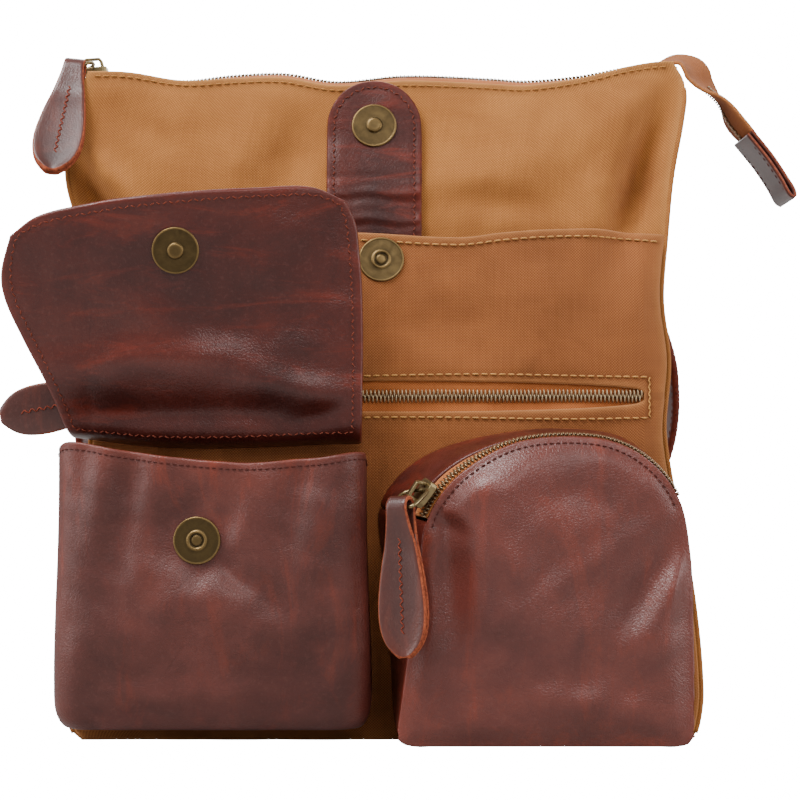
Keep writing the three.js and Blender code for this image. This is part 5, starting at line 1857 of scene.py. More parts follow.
@dataclass
class Flap:
    """The raised flap of the left pocket, seen from its inner face."""

    left: float = -123.2
    width: float = 115
    hinge: float = 118.5
    slope: float = 4
    rise: float = 98
    lean: float = 40
    roll: float = 11
    wall: float = 2.4
    inset: float = 3.7
    snap_x: float = -79.4
    snap_z: float = 192

    LEFT = ((0, 0), (-0.06, 0.2), (-0.14, 0.4), (-0.195, 0.56), (-0.2, 0.66), (-0.165, 0.8))
    TOP = (
        (-0.165, 0.8), (-0.08, 0.87), (0.12, 0.93), (0.38, 0.97), (0.66, 0.995), (0.83, 1.0), (0.94, 0.95),
    )
    RIGHT = ((0.995, 0), (1.0, 0.25), (1.0, 0.55), (0.99, 0.75), (0.975, 0.87), (0.94, 0.95))
    FOLDS = (
        Fold(-95, 148, 50, 9, 6, 3.2),
        Fold(-40, 140, 40, 8, -14, 2.9),
        Fold(-80, 130, 60, 6, 0, -2.7),
        Fold(-28, 128, 14, 4, 20, -1.6),
        Fold(-110, 190, 26, 12, 60, 1.4),
        Fold(-60, 175, 40, 16, -20, -1.1),
    )
    ROUGH = SoftNoise(44, 24)
    SAG = SmoothTable([(0, 2.5), (0.1, 3.6), (0.3, 5.2), (0.55, 4.6), (0.9, 1.6), (1, 1.0)])

    def foot(self, x: Array) -> Array:
        """Height of the lower edge, which sags below the hinge."""
        across = np.clip((x - self.left) / self.width, 0, 1)
        return self.hinge + self.slope * (1 - across) - self.SAG(across)

    def outline(self) -> Place:
        """The flap's shape, seen from the front."""

        def side(rows: Sequence[tuple[float, float]]) -> Line:
            """One side of the flap."""
            points = []
            for across, up in rows:
                x = self.left + across * self.width
                points.append((x, 0, mix(float(self.foot(x)), self.hinge + self.rise, up)))
            return SmoothPath(points).along

        places = np.linspace(0, 0.995, 9) * self.width + self.left
        lower = SmoothPath([(x, 0, float(self.foot(np.array(x)))) for x in places])
        return filled(lower.along, side(self.TOP), side(self.LEFT), side(self.RIGHT))

    def back(self, x: Array, z: Array) -> Array:
        """The face towards the bag: the flap leans forward as it rises, and most at its left.

        Args:
            x: the places across.
            z: the places up.

        Returns:
            Where the face is in depth.
        """
        up = np.clip((z - self.foot(x)) / self.rise, 0, 1)
        across = np.clip((x - self.left) / self.width, 0, 1)
        reach = mix(self.lean, self.lean * 0.35, across) - self.roll
        lean = self.roll * (1 - np.exp(-up / 0.02)) + reach * up
        edge = np.clip(x, FORM.side(Side.LEFT, self.hinge) + 3, FORM.half)
        seat = FORM.patch(edge, np.full_like(np.asarray(x, float), self.hinge))
        lift = (lift_of(self.FOLDS, x, z) + 0.3 * self.ROUGH(x, z)) * smooth(up / 0.06)
        return seat - FORM.seat_gap - lean - lift

    def ground(self, x: Array, z: Array) -> Array:
        """The face towards the front."""
        return self.back(x, z) - self.wall

    def build(self) -> None:
        """Builds the leather, its stitch row and its snap."""
        place = self.outline()
        hinge = [0, 0.004, 0.01, 0.017, 0.025, 0.035, 0.05]
        up = np.append(hinge, shares(self.rise, 1.6, 1.2)[7:])
        grid = grid_of(shares(self.width, 1.6, 1.2), up, draped(place, self.ground))
        rim = self.inset_line(place)
        seam = laid(rim, self.ground)
        sheet = Sheet(grid, self.wall, seams=[seam], seam_depth=0.3, seam_width=1.3)
        make_piece("flap_leather_sheet", sheet.build(), [FLAP_AND_SHADED_LEATHER, DARK_EDGE], ["flap"])
        stitch = Stitch(length=1.5, gap=0.9, radius=0.28, zigzag=0.8)
        make_piece("flap_stitches", sew_on([rim], self.ground, stitch), [FLAP_THREAD])
        stud = (self.snap_x, self.snap_z, self.ground, "flap_snap_stud")
        Snap("flap_snap", SnapHalf.STUD, *stud).build()

    def inset_line(self, place: Place) -> Array:
        """The stitch line, a little inside the outline on every side.

        Args:
            place: the outline.

        Returns:
            The line's places, seen from the front.
        """
        left, low = self.inset / self.width, 0.05
        right, high = 1 - left, 1 - self.inset / self.rise
        corners = ((left, low), (left, high), (right, high), (right, low), (left, low))
        steps = np.linspace(0, 1, 60)
        sides = []
        for (across, up), (next_across, next_up) in zip(corners, corners[1:]):
            side = place(mix(across, next_across, steps), mix(up, next_up, steps))
            sides.append(side[1:] if sides else side)
        return np.vstack(sides)


@dataclass
class DomePocket:
    """The leather pocket at the lower right with its arched zip."""

    width: float = 112
    left: float = 5
    foot: float = 4
    height: float = 117.5
    depth: float = 36
    crown: float = 5
    batter: float = 2
    chain_width: float = 5
    setback: float = 1
    sink: float = 0.4
    rim_fall: float = 2
    rim_reach: float = 9
    inset: float = 2.7

    OUTLINE = (
        (0.0, 0.05, -0.015, 0.05), (0.035, 0.3, -0.03, 0.3), (0.07, 0.52, -0.05, 0.55),
        (0.1, 0.73, -0.065, 0.76), (0.17, 0.84, 0.02, 0.88), (0.27, 0.92, 0.15, 0.955),
        (0.4, 0.98, 0.36, 1.005), (0.56, 1.0, 0.56, 1.02), (0.72, 0.985, 0.76, 1.0),
        (0.85, 0.92, 0.88, 0.93), (0.95, 0.8, 0.97, 0.8), (0.99, 0.62, 1.0, 0.62), (1.0, 0.35, 1.0, 0.35),
        (1.0, 0.06, 0.99, 0.06),
    )
    ARCH_FROM = 3 / 13
    ARCH_TO = 10 / 13
    FOLDS = (
        Fold(24, 74, 30, 7, 96, -4.6),
        Fold(44, 82, 36, 13, 98, 4.2),
        Fold(20, 95, 11, 3.0, -22, 2.0),
        Fold(23, 89, 11, 2.6, -32, -1.8),
        Fold(17, 84, 10, 3.0, -46, 1.4),
        Fold(110, 66, 26, 5.5, 58, 4.0),
        Fold(100, 66, 26, 7, 58, -3.6),
        Fold(104, 36, 20, 8, 88, 2.2),
        Fold(66, 50, 34, 10, -12, 1.6),
        Fold(45, 26, 30, 7, 14, -1.6),
        Fold(80, 20, 26, 6, -8, 1.6),
        Fold(52, 104, 22, 6, 10, 1.4),
        Fold(78, 98, 24, 7, -20, -1.6),
    )
    ROUGH = SoftNoise(57, 16)

    def __post_init__(self) -> None:
        """Lays the outline of the front and the edge where the gusset meets the canvas."""
        rows = np.array(self.OUTLINE)
        across, up = self.left + rows[:, ::2] * self.width, self.foot + rows[:, 1::2] * self.height
        self.edge, self.seat = (SmoothPath(spots(across[:, i], 0.0, up[:, i])) for i in (0, 1))

    @property
    def chain_middle(self) -> float:
        """Share of the depth at which the middle of the chain lies."""
        return 1 - (self.setback + self.chain_width / 2) / self.depth

    @property
    def tape_start(self) -> float:
        """Share of the depth at which the tape starts."""
        return self.chain_middle - 1.4 * self.chain_width / self.depth

    @property
    def margin(self) -> float:
        """Share of the way round that is left free at both ends of the arch."""
        return FORM.seam_gap / self.height

    def heading(self, way: Array) -> Array:
        """The direction of the front's edge."""
        ahead, behind = (self.edge.numbered(np.clip(way + step, 0, 1)) for step in (0.004, -0.004))
        return unit(ahead - behind)

    def front(self, x: Array, z: Array) -> Array:
        """The plain form of the front.

        Args:
            x: the places across.
            z: the places up.

        Returns:
            Where it is in depth.
        """
        across = np.clip(2 * (x - self.left) / self.width - 1, -1, 1)
        up = np.clip((z - self.foot) / self.height, 0, 1)
        crown = self.crown * (1 - across**2) * (1 - (2 * up - 1) ** 4)
        rear = FORM.patch(np.array(self.left + self.width / 2), np.array(self.foot + self.height / 3))
        return rear - self.depth - crown - self.batter * (1 - up)

    def ground(self, x: Array, z: Array) -> Array:
        """The front's outer face with its folds and its soft rim.

        Args:
            x: the places across.
            z: the places up.

        Returns:
            Where the face is in depth.
        """
        flat = np.stack(np.broadcast_arrays(x, z), axis=-1)
        away = nearest(flat.reshape(-1, 2), self.edge.dense[:, [0, 2]]).reshape(flat.shape[:-1])
        inside = smooth(np.minimum(away, np.abs(z - self.foot)) / self.rim_reach)
        lift = (lift_of(self.FOLDS, x, z) + 0.35 * self.ROUGH(x, z)) * inside
        return self.front(x, z) - lift + self.rim_fall * (1 - inside)

    def outline(self) -> Place:
        """The front's shape, seen from the front."""
        start, end = self.edge.numbered(np.array([0.0, 1.0]))
        bend = 0.0125 * self.height
        flat = (0.06, 0.12, 0.3, 0.5, 0.7, 0.88, 0.94)
        bottom = [start, (start[0] + bend, 0, self.foot + bend)]
        bottom += [(mix(start[0], end[0], share), 0, self.foot) for share in flat]
        bottom += [(end[0] - bend, 0, self.foot + bend), end]
        return filled(
            SmoothPath(bottom).along,
            self.edge.part(self.ARCH_FROM, self.ARCH_TO).along,
            self.edge.part(0, self.ARCH_FROM).along,
            self.edge.part(1, self.ARCH_TO).along,
        )

    def strip(self, way: Array, depth: Array, inset: float) -> Array:
        """A point of the strip round the dome.

        Args:
            way: share of the way round, by the outline's rows.
            depth: share of the depth, from the canvas at nothing to the front at one.
            inset: how far it lies inside the outline.

        Returns:
            The point.
        """
        edge, seat = self.edge.numbered(way), self.seat.numbered(way)
        ahead = self.heading(way)
        front = self.front(edge[..., 0], edge[..., 2]) + FORM.leather + FORM.seam_gap
        limit = FORM.side(Side.RIGHT, seat[..., 2]) - 1.5
        seat_x = np.minimum(seat[..., 0], limit)
        rear = FORM.patch(seat_x, seat[..., 2]) - FORM.seat_gap
        x = mix(seat[..., 0], edge[..., 0], depth) + ahead[..., 2] * inset
        z = mix(seat[..., 2], edge[..., 2], depth) - ahead[..., 0] * inset
        return spots(x, mix(rear, front, depth), z)

    def build(self) -> None:
        """Builds the front, the bands, the zip and the stitches."""
        line = self.inset_line()
        steps = (shares(self.width, 1.7, 1.0), shares(self.height, 1.7, 1.0))
        grid = grid_of(*steps, draped(self.outline(), self.ground))
        seam = laid(line, self.ground)
        front = Sheet(grid, FORM.leather, seams=[seam], seam_depth=0.45, seam_width=1.5)
        leathers = [LEATHER, DARK_EDGE]
        make_piece("dome_front_leather", front.build(), leathers, ["dome_pocket_front"])
        sewn = sew_on([line], self.ground, Stitch(length=1.7, gap=0.8, radius=0.24))
        make_piece("dome_front_stitches", sewn, [MAROON_THREAD])
        self.bands()
        self.zip()

    def inset_line(self) -> Array:
        """The stitch line inside the arch, from the left seam to the right foot."""
        way = np.linspace(self.ARCH_FROM - 0.01, self.ARCH_TO + 0.01, 200)
        inward = unit(np.cross([0.0, 1.0, 0.0], self.heading(way)))
        return self.edge.numbered(way) + inward * self.inset

    def bands(self) -> None:
        """Builds the band over the arch and the gusset down the sides and under the pocket."""
        margin = self.margin
        band_end = self.tape_start - 2 * FORM.seam_gap / self.depth
        start, end = self.ARCH_FROM + margin, self.ARCH_TO - margin
        wrinkle = SoftNoise(66, 20)

        def band(column: Array, row: Array) -> Array:
            """A point of the top band's outer face."""
            swell = 0.5 * wrinkle(row * 150, column * 30) * smooth(column * 5) * smooth((1 - column) * 5)
            return self.strip(mix(start, end, row), column * band_end, 0.0) + spots(0.0, 0.0, swell)

        grid = grid_of(shares(28, 1.6, 1.0), np.linspace(0, 1, 96), band)
        sheet = Sheet(grid, FORM.leather, facing=(0, 0, 1))
        # painted shade: the band and the gusset take the darker flap leather for the shade they lie in
        leathers = [FLAP_AND_SHADED_LEATHER, DARK_EDGE]
        make_piece("dome_top_band_leather", sheet.build(), leathers, ["dome_pocket_top_band"])
        left = np.linspace(self.ARCH_FROM - margin, 0.0, 42)
        right = np.linspace(1.0, self.ARCH_TO + margin, 42)
        depth = shares(40, 1.8, 1.0)
        rows = [self.strip(np.full(len(depth), way), depth, 0.0) for way in left]
        first, last = rows[-1], self.strip(np.full(len(depth), 1.0), depth, 0.0)
        base = np.concatenate([[0.012, 0.03, 0.055], np.linspace(0.09, 0.91, 40), [0.945, 0.97, 0.988]])
        for share in base:
            row = mix(first, last, share)
            round_in = min(share, 1 - share) * self.width
            row[:, 2] = self.foot + (first[0, 2] - self.foot) * (1 - min(round_in / 6.0, 1.0)) ** 2
            front = self.front(row[:, 0], np.full(len(depth), self.foot)) + FORM.leather + FORM.seam_gap
            rear = FORM.patch(row[:, 0], np.maximum(row[:, 2], 1.0)) - FORM.seat_gap
            row[:, 1] = mix(rear, front, depth)
            rows.append(row)
        rows += [self.strip(np.full(len(depth), way), depth, 0.0) for way in right]
        grid = np.stack(rows)
        normal = normals_of(grid, (0, 0, -1), (len(rows) // 2, len(depth) // 2))
        gusset = Sheet(grid, FORM.leather, normal=normal)
        make_piece("dome_gusset_leather", gusset.build(), leathers, ["dome_pocket_gusset"])

    def zip(self) -> None:
        """Builds the arched tape and chain."""
        start, end = self.ARCH_FROM + self.margin, self.ARCH_TO - self.margin
        depths = np.linspace(self.tape_start, 1 - 1.4 / self.depth, 10)
        grid = grid_of(depths, np.linspace(start, end, 110), lambda c, r: self.strip(r, c, self.sink))
        tape = Sheet(grid, FORM.tape, facing=(0, 0, 1))
        make_piece("dome_zip_tape_cloth", tape.build(), [TAPE, TAPE], ["dome_zip_tape"])
        way = np.linspace(start, end, 200)
        line = self.strip(way, self.chain_middle, self.sink)
        side = unit(self.strip(way, self.chain_middle + 0.05, self.sink) - line)
        ahead = unit(np.gradient(line, axis=0))
        out = unit(np.cross(side, ahead))
        out = np.where(out[:, 2:3] < 0, -out, out)
        teeth = Chain().lay(line, side, out)
        piece = make_piece("dome_zip_teeth", teeth, [TEETH], ["dome_zip_chain"])
        round_modifier(piece)


@dataclass
class ZipPull:
    """A slider, the wire loop through its bridge and the folded leather puller on the loop."""

    zip_name: str
    place: Array
    along: Array
    outward: Array
    bar: tuple
    ring_down: tuple
    fold: tuple
    puller_down: tuple
    grip_out: float = 0.0
    grip_down: float = 1.0
    slip: float = 0.0
    slider_length: float = 11
    slider_width: float = 8.4
    slider_height: float = 3
    ring_length: float = 13
    ring_width: float = 12
    wire: float = 1.5
    length: float = 56
    width: float = 20
    eye: float = 2.6

    WIDE = SmoothTable([
        (0, 0.42), (0.08, 0.47), (0.25, 0.66), (0.45, 0.87), (0.66, 1.0), (0.8, 0.95), (0.9, 0.76),
        (0.97, 0.44), (1, 0.2),
    ])
    PLATE = ((-1, -0.5), (-0.62, -0.78), (0.1, -0.98), (0.75, -1), (1, -0.8))
    LOOP = (
        (0, 0), (0.6, -0.03), (0.93, -0.13), (1, -0.3), (1, -0.85), (0.85, -1),
        (-0.85, -1), (-1, -0.85), (-1, -0.3), (-0.93, -0.13), (-0.6, -0.03),
    )

    def build(self) -> None:
        """Builds the slider, the loop, the puller and its stitches."""
        x = unit(np.asarray(self.along, float))
        z = unit(np.cross(self.outward, x))
        turn = np.stack([x, np.cross(z, x), z], axis=1)
        clear = self.wire + 1.5
        self.slider(turn, clear)
        bridge = self.place - turn[:, 1] * (self.slider_height + clear / 2)
        ring_turn = hanging(self.bar, self.ring_down)
        at = bridge + unit(np.asarray(self.bar, float)) * self.slip * self.ring_width / 2
        half = self.ring_width / 2
        loop = SmoothPath([(out * half, 0, down * self.ring_length) for out, down in self.LOOP], closed=True)
        wire = placed(swept_wire(loop, self.wire / 2, True), ring_turn, at)
        wire.edge = np.full(len(wire.points), 0.45)
        nodes = [f"{self.zip_name}_pull_ring"]
        make_piece(f"{self.zip_name}_zip_loop", wire, [SLIDER_BRASS], nodes)
        foot = ring_turn @ np.array([self.grip_out * half, 0.0, -self.grip_down * self.ring_length]) + at
        self.puller(hanging(self.fold, self.puller_down), foot)

    def slider(self, turn: Array, clear: float) -> None:
        """Builds the slider's plates and its bridge.

        Args:
            turn: the turn that lays it along the zip.
            clear: the room under the bridge.
        """
        half, wide = self.slider_length / 2, self.slider_width / 2
        edge = [(x * half, out * wide) for x, out in self.PLATE]
        plate = prism(edge + [(x, -y) for x, y in reversed(edge)], 0.0, self.slider_height)
        rail, root = 1.2, -0.4
        arch = [
            (-0.8 * half, root), (-0.55 * half, root), (-0.5 * half, clear), (0.4 * half, clear),
            (0.55 * half, root), (0.8 * half, root), (0.66 * half, clear), (0.45 * half, clear + rail),
            (-0.6 * half, clear + rail), (-0.76 * half, clear + rail * 0.5),
        ]
        bridge = prism(arch, -1.1, 1.1)
        upright = np.array([[1.0, 0, 0], [0, 0, -1.0], [0, 1.0, 0]])
        lying = np.array([[1.0, 0, 0], [0, -1.0, 0], [0, 0, 1.0]])
        on_top = np.array([0.0, -self.slider_height, 0.0])
        body = gather([placed(plate, upright, np.zeros(3)), placed(bridge, lying, on_top)])
        body.edge = np.full(len(body.points), 0.6)
        name, nodes = f"{self.zip_name}_slider_body", [f"{self.zip_name}_zip_slider"]
        body = placed(body, turn, self.place)
        piece = make_piece(name, body, [SLIDER_BRASS], nodes, smooth_shade=False)
        bevel_modifier(piece, 0.4)

    def puller(self, turn: Array, foot: Array) -> None:
        """Builds the leather, folded round the loop, and its row of stitches.

        Args:
            turn: the turn that hangs it on the loop.
            foot: where it holds the loop.
        """
        wall = FORM.leather / 2
        fold, rest = self.eye + wall, wall + FORM.seam_gap / 2
        downs = (1, 0.92, 0.8, 0.62, 0.42, 0.24)
        course = [(0, -rest, -down * self.length) for down in downs]
        course.append((0, -mix(rest, fold, 0.6), -0.1 * self.length))
        course += [(0, -fold * math.cos(a), fold * math.sin(a)) for a in np.linspace(0, math.pi, 7)]
        course.append((0, mix(rest, fold, 0.6), -0.1 * self.length))
        course += [(0, rest, -down * self.length) for down in reversed(downs)]
        path = SmoothPath(course)

        def point(column: Array, row: Array) -> Array:
            """A point of the leather's middle."""
            middle = path.along(row)
            down = np.clip(-middle[..., 2] / self.length, 0, 1)
            wide = self.width * self.WIDE(down)
            curl = 0.9 * (2 * column - 1) ** 2 * down
            x = (column - 0.5) * wide
            return spots(x, middle[..., 1] - curl, middle[..., 2])

        grid = grid_of(shares(self.width, 1.3, 0.9), shares(path.length, 1.3, 0.9), point)
        normal = normals_of(grid, (0, -1, 0), (len(grid) // 4, grid.shape[1] // 2))
        sheet = Sheet(grid, FORM.leather, normal=normal, middle=True, raw=0.5)
        parts, leathers = placed(sheet.build(), turn, foot), [PULLER_LEATHER, RAW_EDGE]
        name = f"{self.zip_name}_puller"
        make_piece(f"{name}_leather", parts, leathers, [name])
        rows = []
        for front in (-1.0, 1.0):
            z = np.linspace(-0.2 * self.length, -0.84 * self.length, 60)
            line, outward = spots(0.0, front * (rest + wall), z), np.tile([0.0, front, 0.0], (len(z), 1))
            rows.append(Stitch(length=1.6, gap=-0.1, radius=0.28, zigzag=1.5).sew(line, outward))
        sewn = placed(gather(rows), turn, foot)
        make_piece(f"{name}_stitches", sewn, [RUST_THREAD])


def prism(outline: Sequence[tuple[float, float]], low: float, high: float) -> MeshParts:
    """A straight prism.

    Args:
        outline: its outline in X and Y.
        low: the height of its lower face.
        high: the height of its upper face.

    Returns:
        Its mesh parts.
    """
    count = len(outline)
    points = np.array([(x, y, z) for z in (low, high) for x, y in outline], float)
    faces = [list(range(count))[::-1], list(range(count, 2 * count))]
    for step in range(count):
        after = (step + 1) % count
        faces.append([step, after, count + after, count + step])
    return MeshParts(points, faces)


def seat_on(strip: Callable[[float, float], Array], row: float, reach: float) -> tuple[Array, Array, Array]:
    """Finds where the back of a slider lies on a strip.

    Args:
        strip: a point of the strip, by shares across and along.
        row: the share along at which the slider stands.
        reach: the share along over which the direction is measured.

    Returns:
        Its place, the direction along the strip and the direction out of it.
    """
    along = unit(strip(0.5, row + reach) - strip(0.5, row - reach))
    outward = unit(np.cross(strip(0.9, row) - strip(0.1, row), along))
    return strip(0.5, row), along, outward


@dataclass
class ZipPulls:
    """The three zip pulls where the picture shows them."""

    chain_width: float = 5
    chain_height: float = 1.8
    slider_length: float = 11

    def build(self, dome: DomePocket, top_zip: TopZip) -> None:
        """Builds the pulls of the front, dome and top zip.

        Args:
            dome: the dome pocket that one zip closes.
            top_zip: the zip of the mouth.
        """
        gap = FORM.seam_gap
        span = FORM.slit_right - FORM.slit_left

        def front_row(column: float, row: float) -> Array:
            """A point on top of the front chain."""
            x = mix(FORM.slit_left + 1, FORM.slit_right - 1, row)
            z = FORM.slit_height + (0.5 - column) * self.chain_width
            y = FORM.patch(np.array(x), np.array(z)) + FORM.canvas - self.chain_height
            return np.array([x, float(y), z])

        place, along, outward = seat_on(front_row, (self.slider_length / 2 + 2) / span, 0.028)
        ZipPull(
            "front", place + outward * 2 * gap, along, outward, bar=(0.14, 0, 1), ring_down=(-1, 0.02, 0.14),
            fold=(-0.18, 0, 0.98), puller_down=(-0.97, 0.14, -0.18),
        ).build()
        half_share = self.chain_width / dome.depth / 2

        def dome_row(column: float, row: float) -> Array:
            """A point on top of the dome chain."""
            way = mix(dome.ARCH_FROM, dome.ARCH_TO, row)
            depth = dome.chain_middle + mix(-half_share, half_share, column)
            return dome.strip(np.array(way), np.array(depth), dome.sink - gap - self.chain_height)

        place, along, outward = seat_on(dome_row, 0.075, 0.035)
        ZipPull(
            "dome", place + outward * (2 * gap + 0.3), along, outward, bar=(0.8, -0.6, 0.1),
            ring_down=(-0.5, -0.6, -0.42), fold=(0.88, -0.46, 0.05), puller_down=(0.04, -0.04, -1),
        ).build()
        start, end = top_zip.ends

        def top_row(column: float, row: float) -> Array:
            """A point on top of the top chain."""
            x = mix(start, end, row)
            z = float(top_zip.level(x)) + gap + self.chain_height
            return np.array([x, (0.5 - column) * self.chain_width, z])

        place, along, outward = seat_on(top_row, self.slider_length / 2 / (end - start), 0.022)
        ZipPull(
            "top", place + outward * 2 * gap - along * 4, along, outward, bar=(0, -1, 0),
            ring_down=(-0.9, 0, -0.42), fold=(0.99, 0, -0.1), puller_down=(0.03, -0.57, -0.82),
            grip_out=1.0, grip_down=0.57, slip=0.5,
        ).build()


@dataclass
class ZipTail:
    """The free end of the top zip, with leather folded round its end."""

    width: float = 24
    tab_length: float = 30
    tab_width: float = 22

    COURSE = (
        (-0.03, -0.008), (-0.004, 0.003), (0.014, 0.005), (0.032, -0.006), (0.05, -0.03), (0.076, -0.056),
        (0.096, -0.09), (0.12, -0.118),
    )
    END_COURSE = (
        (-0.1, 1), (0.35, 1), (0.7, 1), (0.93, 1.05), (0.99, 0), (0.93, -1.05), (0.7, -1), (0.35, -1),
        (-0.1, -1),
    )
    TURN = SmoothTable([
        (0, 4), (0.2, 17), (0.35, 33), (0.5, 24), (0.62, 8), (0.75, -6), (0.88, -10), (1, -8),
    ])
    WIDE = SmoothTable([(0, 0.5), (0.2, 0.8), (0.35, 1), (0.5, 0.9), (0.62, 0.8), (0.8, 0.9), (1, 0.85)])

    def across(self, heading: Array, degrees: Array) -> Array:
        """The direction across a band that is turned about its own course.

        Args:
            heading: the course's direction.
            degrees: how far the band is turned.

        Returns:
            The direction.
        """
        level = np.array([0.0, 1.0, 0.0])
        turn = np.radians(degrees)[..., None]
        return unit(level * np.cos(turn) + np.cross(heading, level) * np.sin(turn))

    def build(self) -> None:
        """Builds the folded tape, its teeth and the leather end."""
        corner = float(FORM.side(Side.RIGHT, FORM.height))
        height = float(FORM.top(corner))
        course = np.array(self.COURSE) * FORM.height
        path = SmoothPath(spots(corner + course[:, 0], 0.0, height + course[:, 1]))

        def point(column: Array, row: Array) -> Array:
            """A point of the tape's middle: its two halves fold towards each other."""
            heading = path.heading(row)
            side = self.across(heading, self.TURN(row))
            out = unit(np.cross(side, heading))
            reach = (column - 0.5) * self.width * self.WIDE(row)
            bow = 1.5 * np.abs(2 * column - 1) ** 1.5 * smooth(row * 3)
            return path.along(row) + side * reach[..., None] - out * bow[..., None]

        grid = grid_of(shares(self.width, 1.2, 0.8), shares(path.length, 1.2, 0.8), point)
        sheet = Sheet(grid, 1.6, facing=(0.7, 0, 0.7), middle=True)
        make_piece("zip_tail_cloth", sheet.build(), [TAIL_CANVAS, TAIL_CANVAS], ["zip_tail"])
        self.teeth(path)
        self.end_tab(path)

    def teeth(self, path: SmoothPath) -> None:
        """Lays the last teeth of the zip along the lower half of the tail.

        Args:
            path: the tail's middle line.
        """
        share = np.linspace(0.5, 0.99, 80)
        heading = path.heading(share)
        side = self.across(heading, self.TURN(share))
        out = unit(np.cross(side, heading))
        out = np.where(out[:, :1] < 0, -out, out)
        for name, sign in (("outer", 1.0), ("inner", -1.0)):
            line = path.along(share) + out * sign * 0.8
            row = Chain(pitch=2.2, reach=1.1, thick=0.8, height=0.8).lay(line, side, out * sign)
            make_piece(f"tail_teeth_{name}", row, [TEETH])

    def end_tab(self, path: SmoothPath) -> None:
        """Builds the leather that folds round the tape's end, with its stitches.

        Args:
            path: the tail's middle line.
        """
        tip, aim = path.along(np.array(1.0)), path.heading(np.array(1.0))
        side = self.across(aim, self.TURN(1.0))
        out = unit(np.cross(side, aim))
        length, gap = self.tab_length * 0.95, 1.05
        sag = np.array([-2.0, 0.0, -3.0])

        def course(share: Array) -> Array:
            """Points of the tab's sagging middle."""
            return tip + aim * share * length + sag * share**2

        loop = SmoothPath([course(share) + out * rise * gap for share, rise in self.END_COURSE])

        def point(column: Array, row: Array) -> Array:
            """A point of the leather's middle."""
            return loop.along(row) + side * ((column - 0.5) * self.tab_width)[..., None]

        grid = grid_of(shares(self.tab_width, 1.3, 0.8), shares(loop.length, 1.1, 0.8), point)
        sheet = Sheet(grid, 1.7, normal=normals_of(grid, out, (len(grid) // 4, 5)), middle=True)
        leathers = [PULLER_LEATHER, RAW_EDGE]
        make_piece("tail_end_leather", sheet.build(), leathers, ["tail_end_tab"])
        middle = course(np.linspace(0.08, 0.86, 50)[:, None])
        rows = []
        for front in (-1.0, 1.0):
            for reach in (-0.38, 0.38):
                line = middle + side * reach * self.tab_width + out * front * (gap + 0.85)
                outward = np.tile(out * front, (len(line), 1))
                rows.append(Stitch(length=1.8, gap=0.8, radius=0.26, stand=-0.1).sew(line, outward))
        make_piece("tail_end_stitches", gather(rows), [MAROON_THREAD])


@dataclass
class ShoulderStrap:
    """The leather strap, sewn to both side gussets and hanging in a loop behind the bag."""

    width: float = 26
    wall: float = 3

    COURSE = (
        (-1, 0, 0.94, True), (-1, 0, 0.88, True), (-1, 0, 0.81, True), (-1.03, 0.15, 0.68, False),
        (-1.05, 0.75, 0.54, False), (-1.04, 1.3, 0.42, False), (-0.9, 1.5, 0.27, False),
        (-0.55, 1.52, 0.14, False), (0, 1.52, 0.09, False),
        (0.52, 1.52, 0.15, False), (0.84, 1.5, 0.29, False), (0.968, 1.3, 0.42, False),
        (0.966, 0.75, 0.54, False),
        (0.872, 0.15, 0.68, False), (1, 0, 0.81, True), (1, 0, 0.88, True), (1, 0, 0.93, True),
    )

    def seat(self, sign: float, z: float) -> float:
        """Where the strap lies on the gusset.

        Args:
            sign: below nothing on the left, above it on the right.
            z: the height.

        Returns:
            The place of the strap's middle across the bag.
        """
        side = Side.LEFT if sign < 0 else Side.RIGHT
        reach = min(self.width / 2 / (float(FORM.half_depth(z)) - FORM.canvas), 1.0)
        pinch = FORM.pinch * (1 - reach**2) * float(smooth(np.array(z / FORM.height - 0.08)))
        return float(FORM.side(side, z)) - sign * pinch + sign * (FORM.seam_gap + self.wall / 2)

    def build(self) -> None:
        """Builds the strap and the stitch rows along its edges."""
        points = []
        for across, back, up, seated in self.COURSE:
            z = up * FORM.height
            x = self.seat(across, z) if seated else across * FORM.half
            points.append((x, back * FORM.depth / 2, z))
        path = SmoothPath(points)
        share = shares(path.length, 3.0, 1.5)
        middle, heading = path.along(share), path.heading(share)
        wide = np.array([0.0, 1.0, 0.0])
        out = unit(np.cross(heading, wide))
        across = (shares(self.width, 1.6, 1.4) - 0.5) * self.width
        grid = middle[:, None, :] + across[None, :, None] * wide
        normal = np.repeat(out[:, None, :], len(across), axis=1)
        sheet = Sheet(grid, self.wall, normal=normal, middle=True)
        leathers = [STRAP_LEATHER, DARK_EDGE]
        make_piece("shoulder_strap_leather", sheet.build(), leathers, ["shoulder_strap"])
        rows = []
        fine = np.linspace(0.005, 0.995, 500)
        line, turned = path.along(fine), unit(np.cross(path.heading(fine), wide))
        for reach in (-0.4, 0.4):
            for front in (-1.0, 1.0):
                row = line + wide * reach * self.width + turned * front * self.wall / 2
                rows.append(Stitch(length=2.6, gap=1.0, radius=0.3, stand=-0.35).sew(row, turned * front))
        make_piece("strap_stitches", gather(rows), [RUST_THREAD])


# Stage


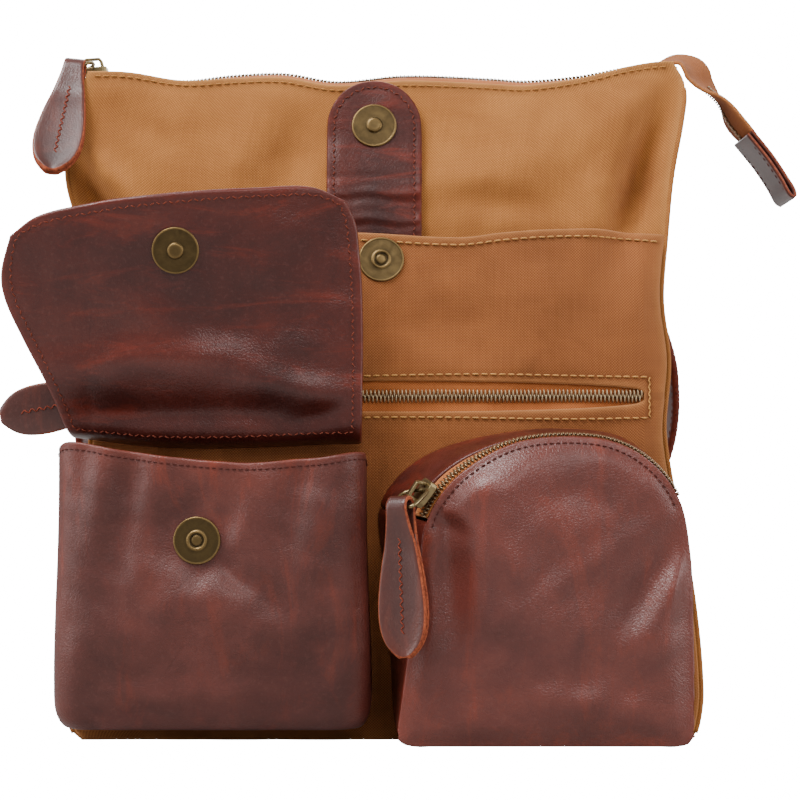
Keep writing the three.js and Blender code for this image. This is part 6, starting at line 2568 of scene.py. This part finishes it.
@dataclass(frozen=True)
class Studio:
    """A pale floor, soft lights and the camera."""

    lens: float = 102.06
    camera_x: float = 0.006
    camera_y: float = -0.938
    camera_z: float = 0.135
    sky_strength: float = 0.38
    glare: float = 18.0
    floor_reach: float = 6.0

    WHITE = (1.0, 1.0, 1.0, 1.0)

    def build(self) -> None:
        """Builds the stage."""
        self.floor()
        self.sky()
        self.light("key", (-0.6, -0.55, 1.35), 0.7, 25.5)
        self.light("side_left", (-1.15, -0.25, 0.45), 0.8, 8.0)
        self.light("side_right", (1.15, -0.3, 0.5), 0.8, 8.0)
        self.light("back", (0.1, 0.9, 0.8), 1.4, 16.0)
        self.light("front", (0.3, -1.3, 0.95), 0.5, 6.0)
        self.camera()

    def floor(self) -> None:
        """Lays the floor, which is overexposed to the camera alone."""
        mesh = bpy.data.meshes.new("pale_floor")
        reach = self.floor_reach
        corners = [(-reach, -reach, 0), (reach, -reach, 0), (reach, reach, 0), (-reach, reach, 0)]
        mesh.from_pydata(corners, [], [(0, 1, 2, 3)])
        floor = bpy.data.objects.new("pale_floor", mesh)
        material, pen, shader = start_material("pale_floor_paint")
        paint = {"Base Color": colour((176, 174, 172)), "Roughness": 0.9, "Specular IOR Level": 0.1}
        pen.feed(shader, paint)
        self.overexpose(pen, shader, "ShaderNodeEmission", "Material Output")
        mesh.materials.append(material)
        bpy.context.scene.collection.objects.link(floor)

    def sky(self) -> None:
        """Sets the white surroundings, which are overexposed to the camera alone."""
        world = bpy.data.worlds.new("white_studio")
        world.use_nodes = True
        pen = NodePen(world.node_tree)
        soft = world.node_tree.nodes["Background"]
        pen.feed(soft, {"Color": self.WHITE, "Strength": self.sky_strength})
        self.overexpose(pen, soft, "ShaderNodeBackground", "World Output")
        bpy.context.scene.world = world

    def overexpose(self, pen: NodePen, soft: bpy.types.Node, kind: str, output: str) -> None:
        """Shows the camera a bright white in place of a shader.

        Args:
            pen: the pen of the shader's tree.
            soft: the shader that lights the bag.
            kind: the type name of the bright shader.
            output: the name of the tree's output.
        """
        bright = pen.add(kind, {"Color": self.WHITE, "Strength": self.glare})
        seen = pen.add("ShaderNodeLightPath").outputs["Is Camera Ray"]
        inputs = {0: seen, 1: soft.outputs[0], 2: bright.outputs[0]}
        both = pen.add("ShaderNodeMixShader", inputs)
        pen.feed(pen.tree.nodes[output], {"Surface": both.outputs[0]})

    def light(self, name: str, place: tuple, size: float, power: float) -> None:
        """Adds a soft square light that looks at the bag.

        Args:
            name: its name.
            place: where it stands, in metres.
            size: its side, in metres.
            power: its power, in watts.
        """
        lamp = bpy.data.lights.new(name, "AREA")
        lamp.size = size
        lamp.energy = power
        holder = bpy.data.objects.new(name, lamp)
        bpy.context.scene.collection.objects.link(holder)
        away = np.array([0.0, -0.03, 0.13]) - np.asarray(place)
        holder.location = place
        holder.rotation_euler = Vector(away).to_track_quat("-Z", "Y").to_euler()

    def camera(self) -> None:
        """Places the camera of the picture."""
        data = bpy.data.cameras.new("picture_camera")
        data.lens = self.lens
        data.sensor_width = 36.0
        data.clip_start, data.clip_end = 0.01, 50.0
        holder = bpy.data.objects.new("picture_camera", data)
        holder.location = (self.camera_x, self.camera_y, self.camera_z)
        holder.rotation_euler = (math.pi / 2, 0.0, 0.0)
        bpy.context.scene.collection.objects.link(holder)
        bpy.context.scene.camera = holder


def main() -> None:
    """Builds the bag and its stage."""
    logging.basicConfig(level=logging.INFO, format="%(message)s")
    Studio().build()
    CanvasBody().build()
    PatchPocket().build()
    top_zip = TopZip()
    top_zip.build()
    ClosingTab().build()
    LeftPocket().build()
    Flap().build()
    dome = DomePocket()
    dome.build()
    ZipPulls().build(dome, top_zip)
    ZipTail().build()
    ShoulderStrap().build()


if __name__ == "__main__":
    main()
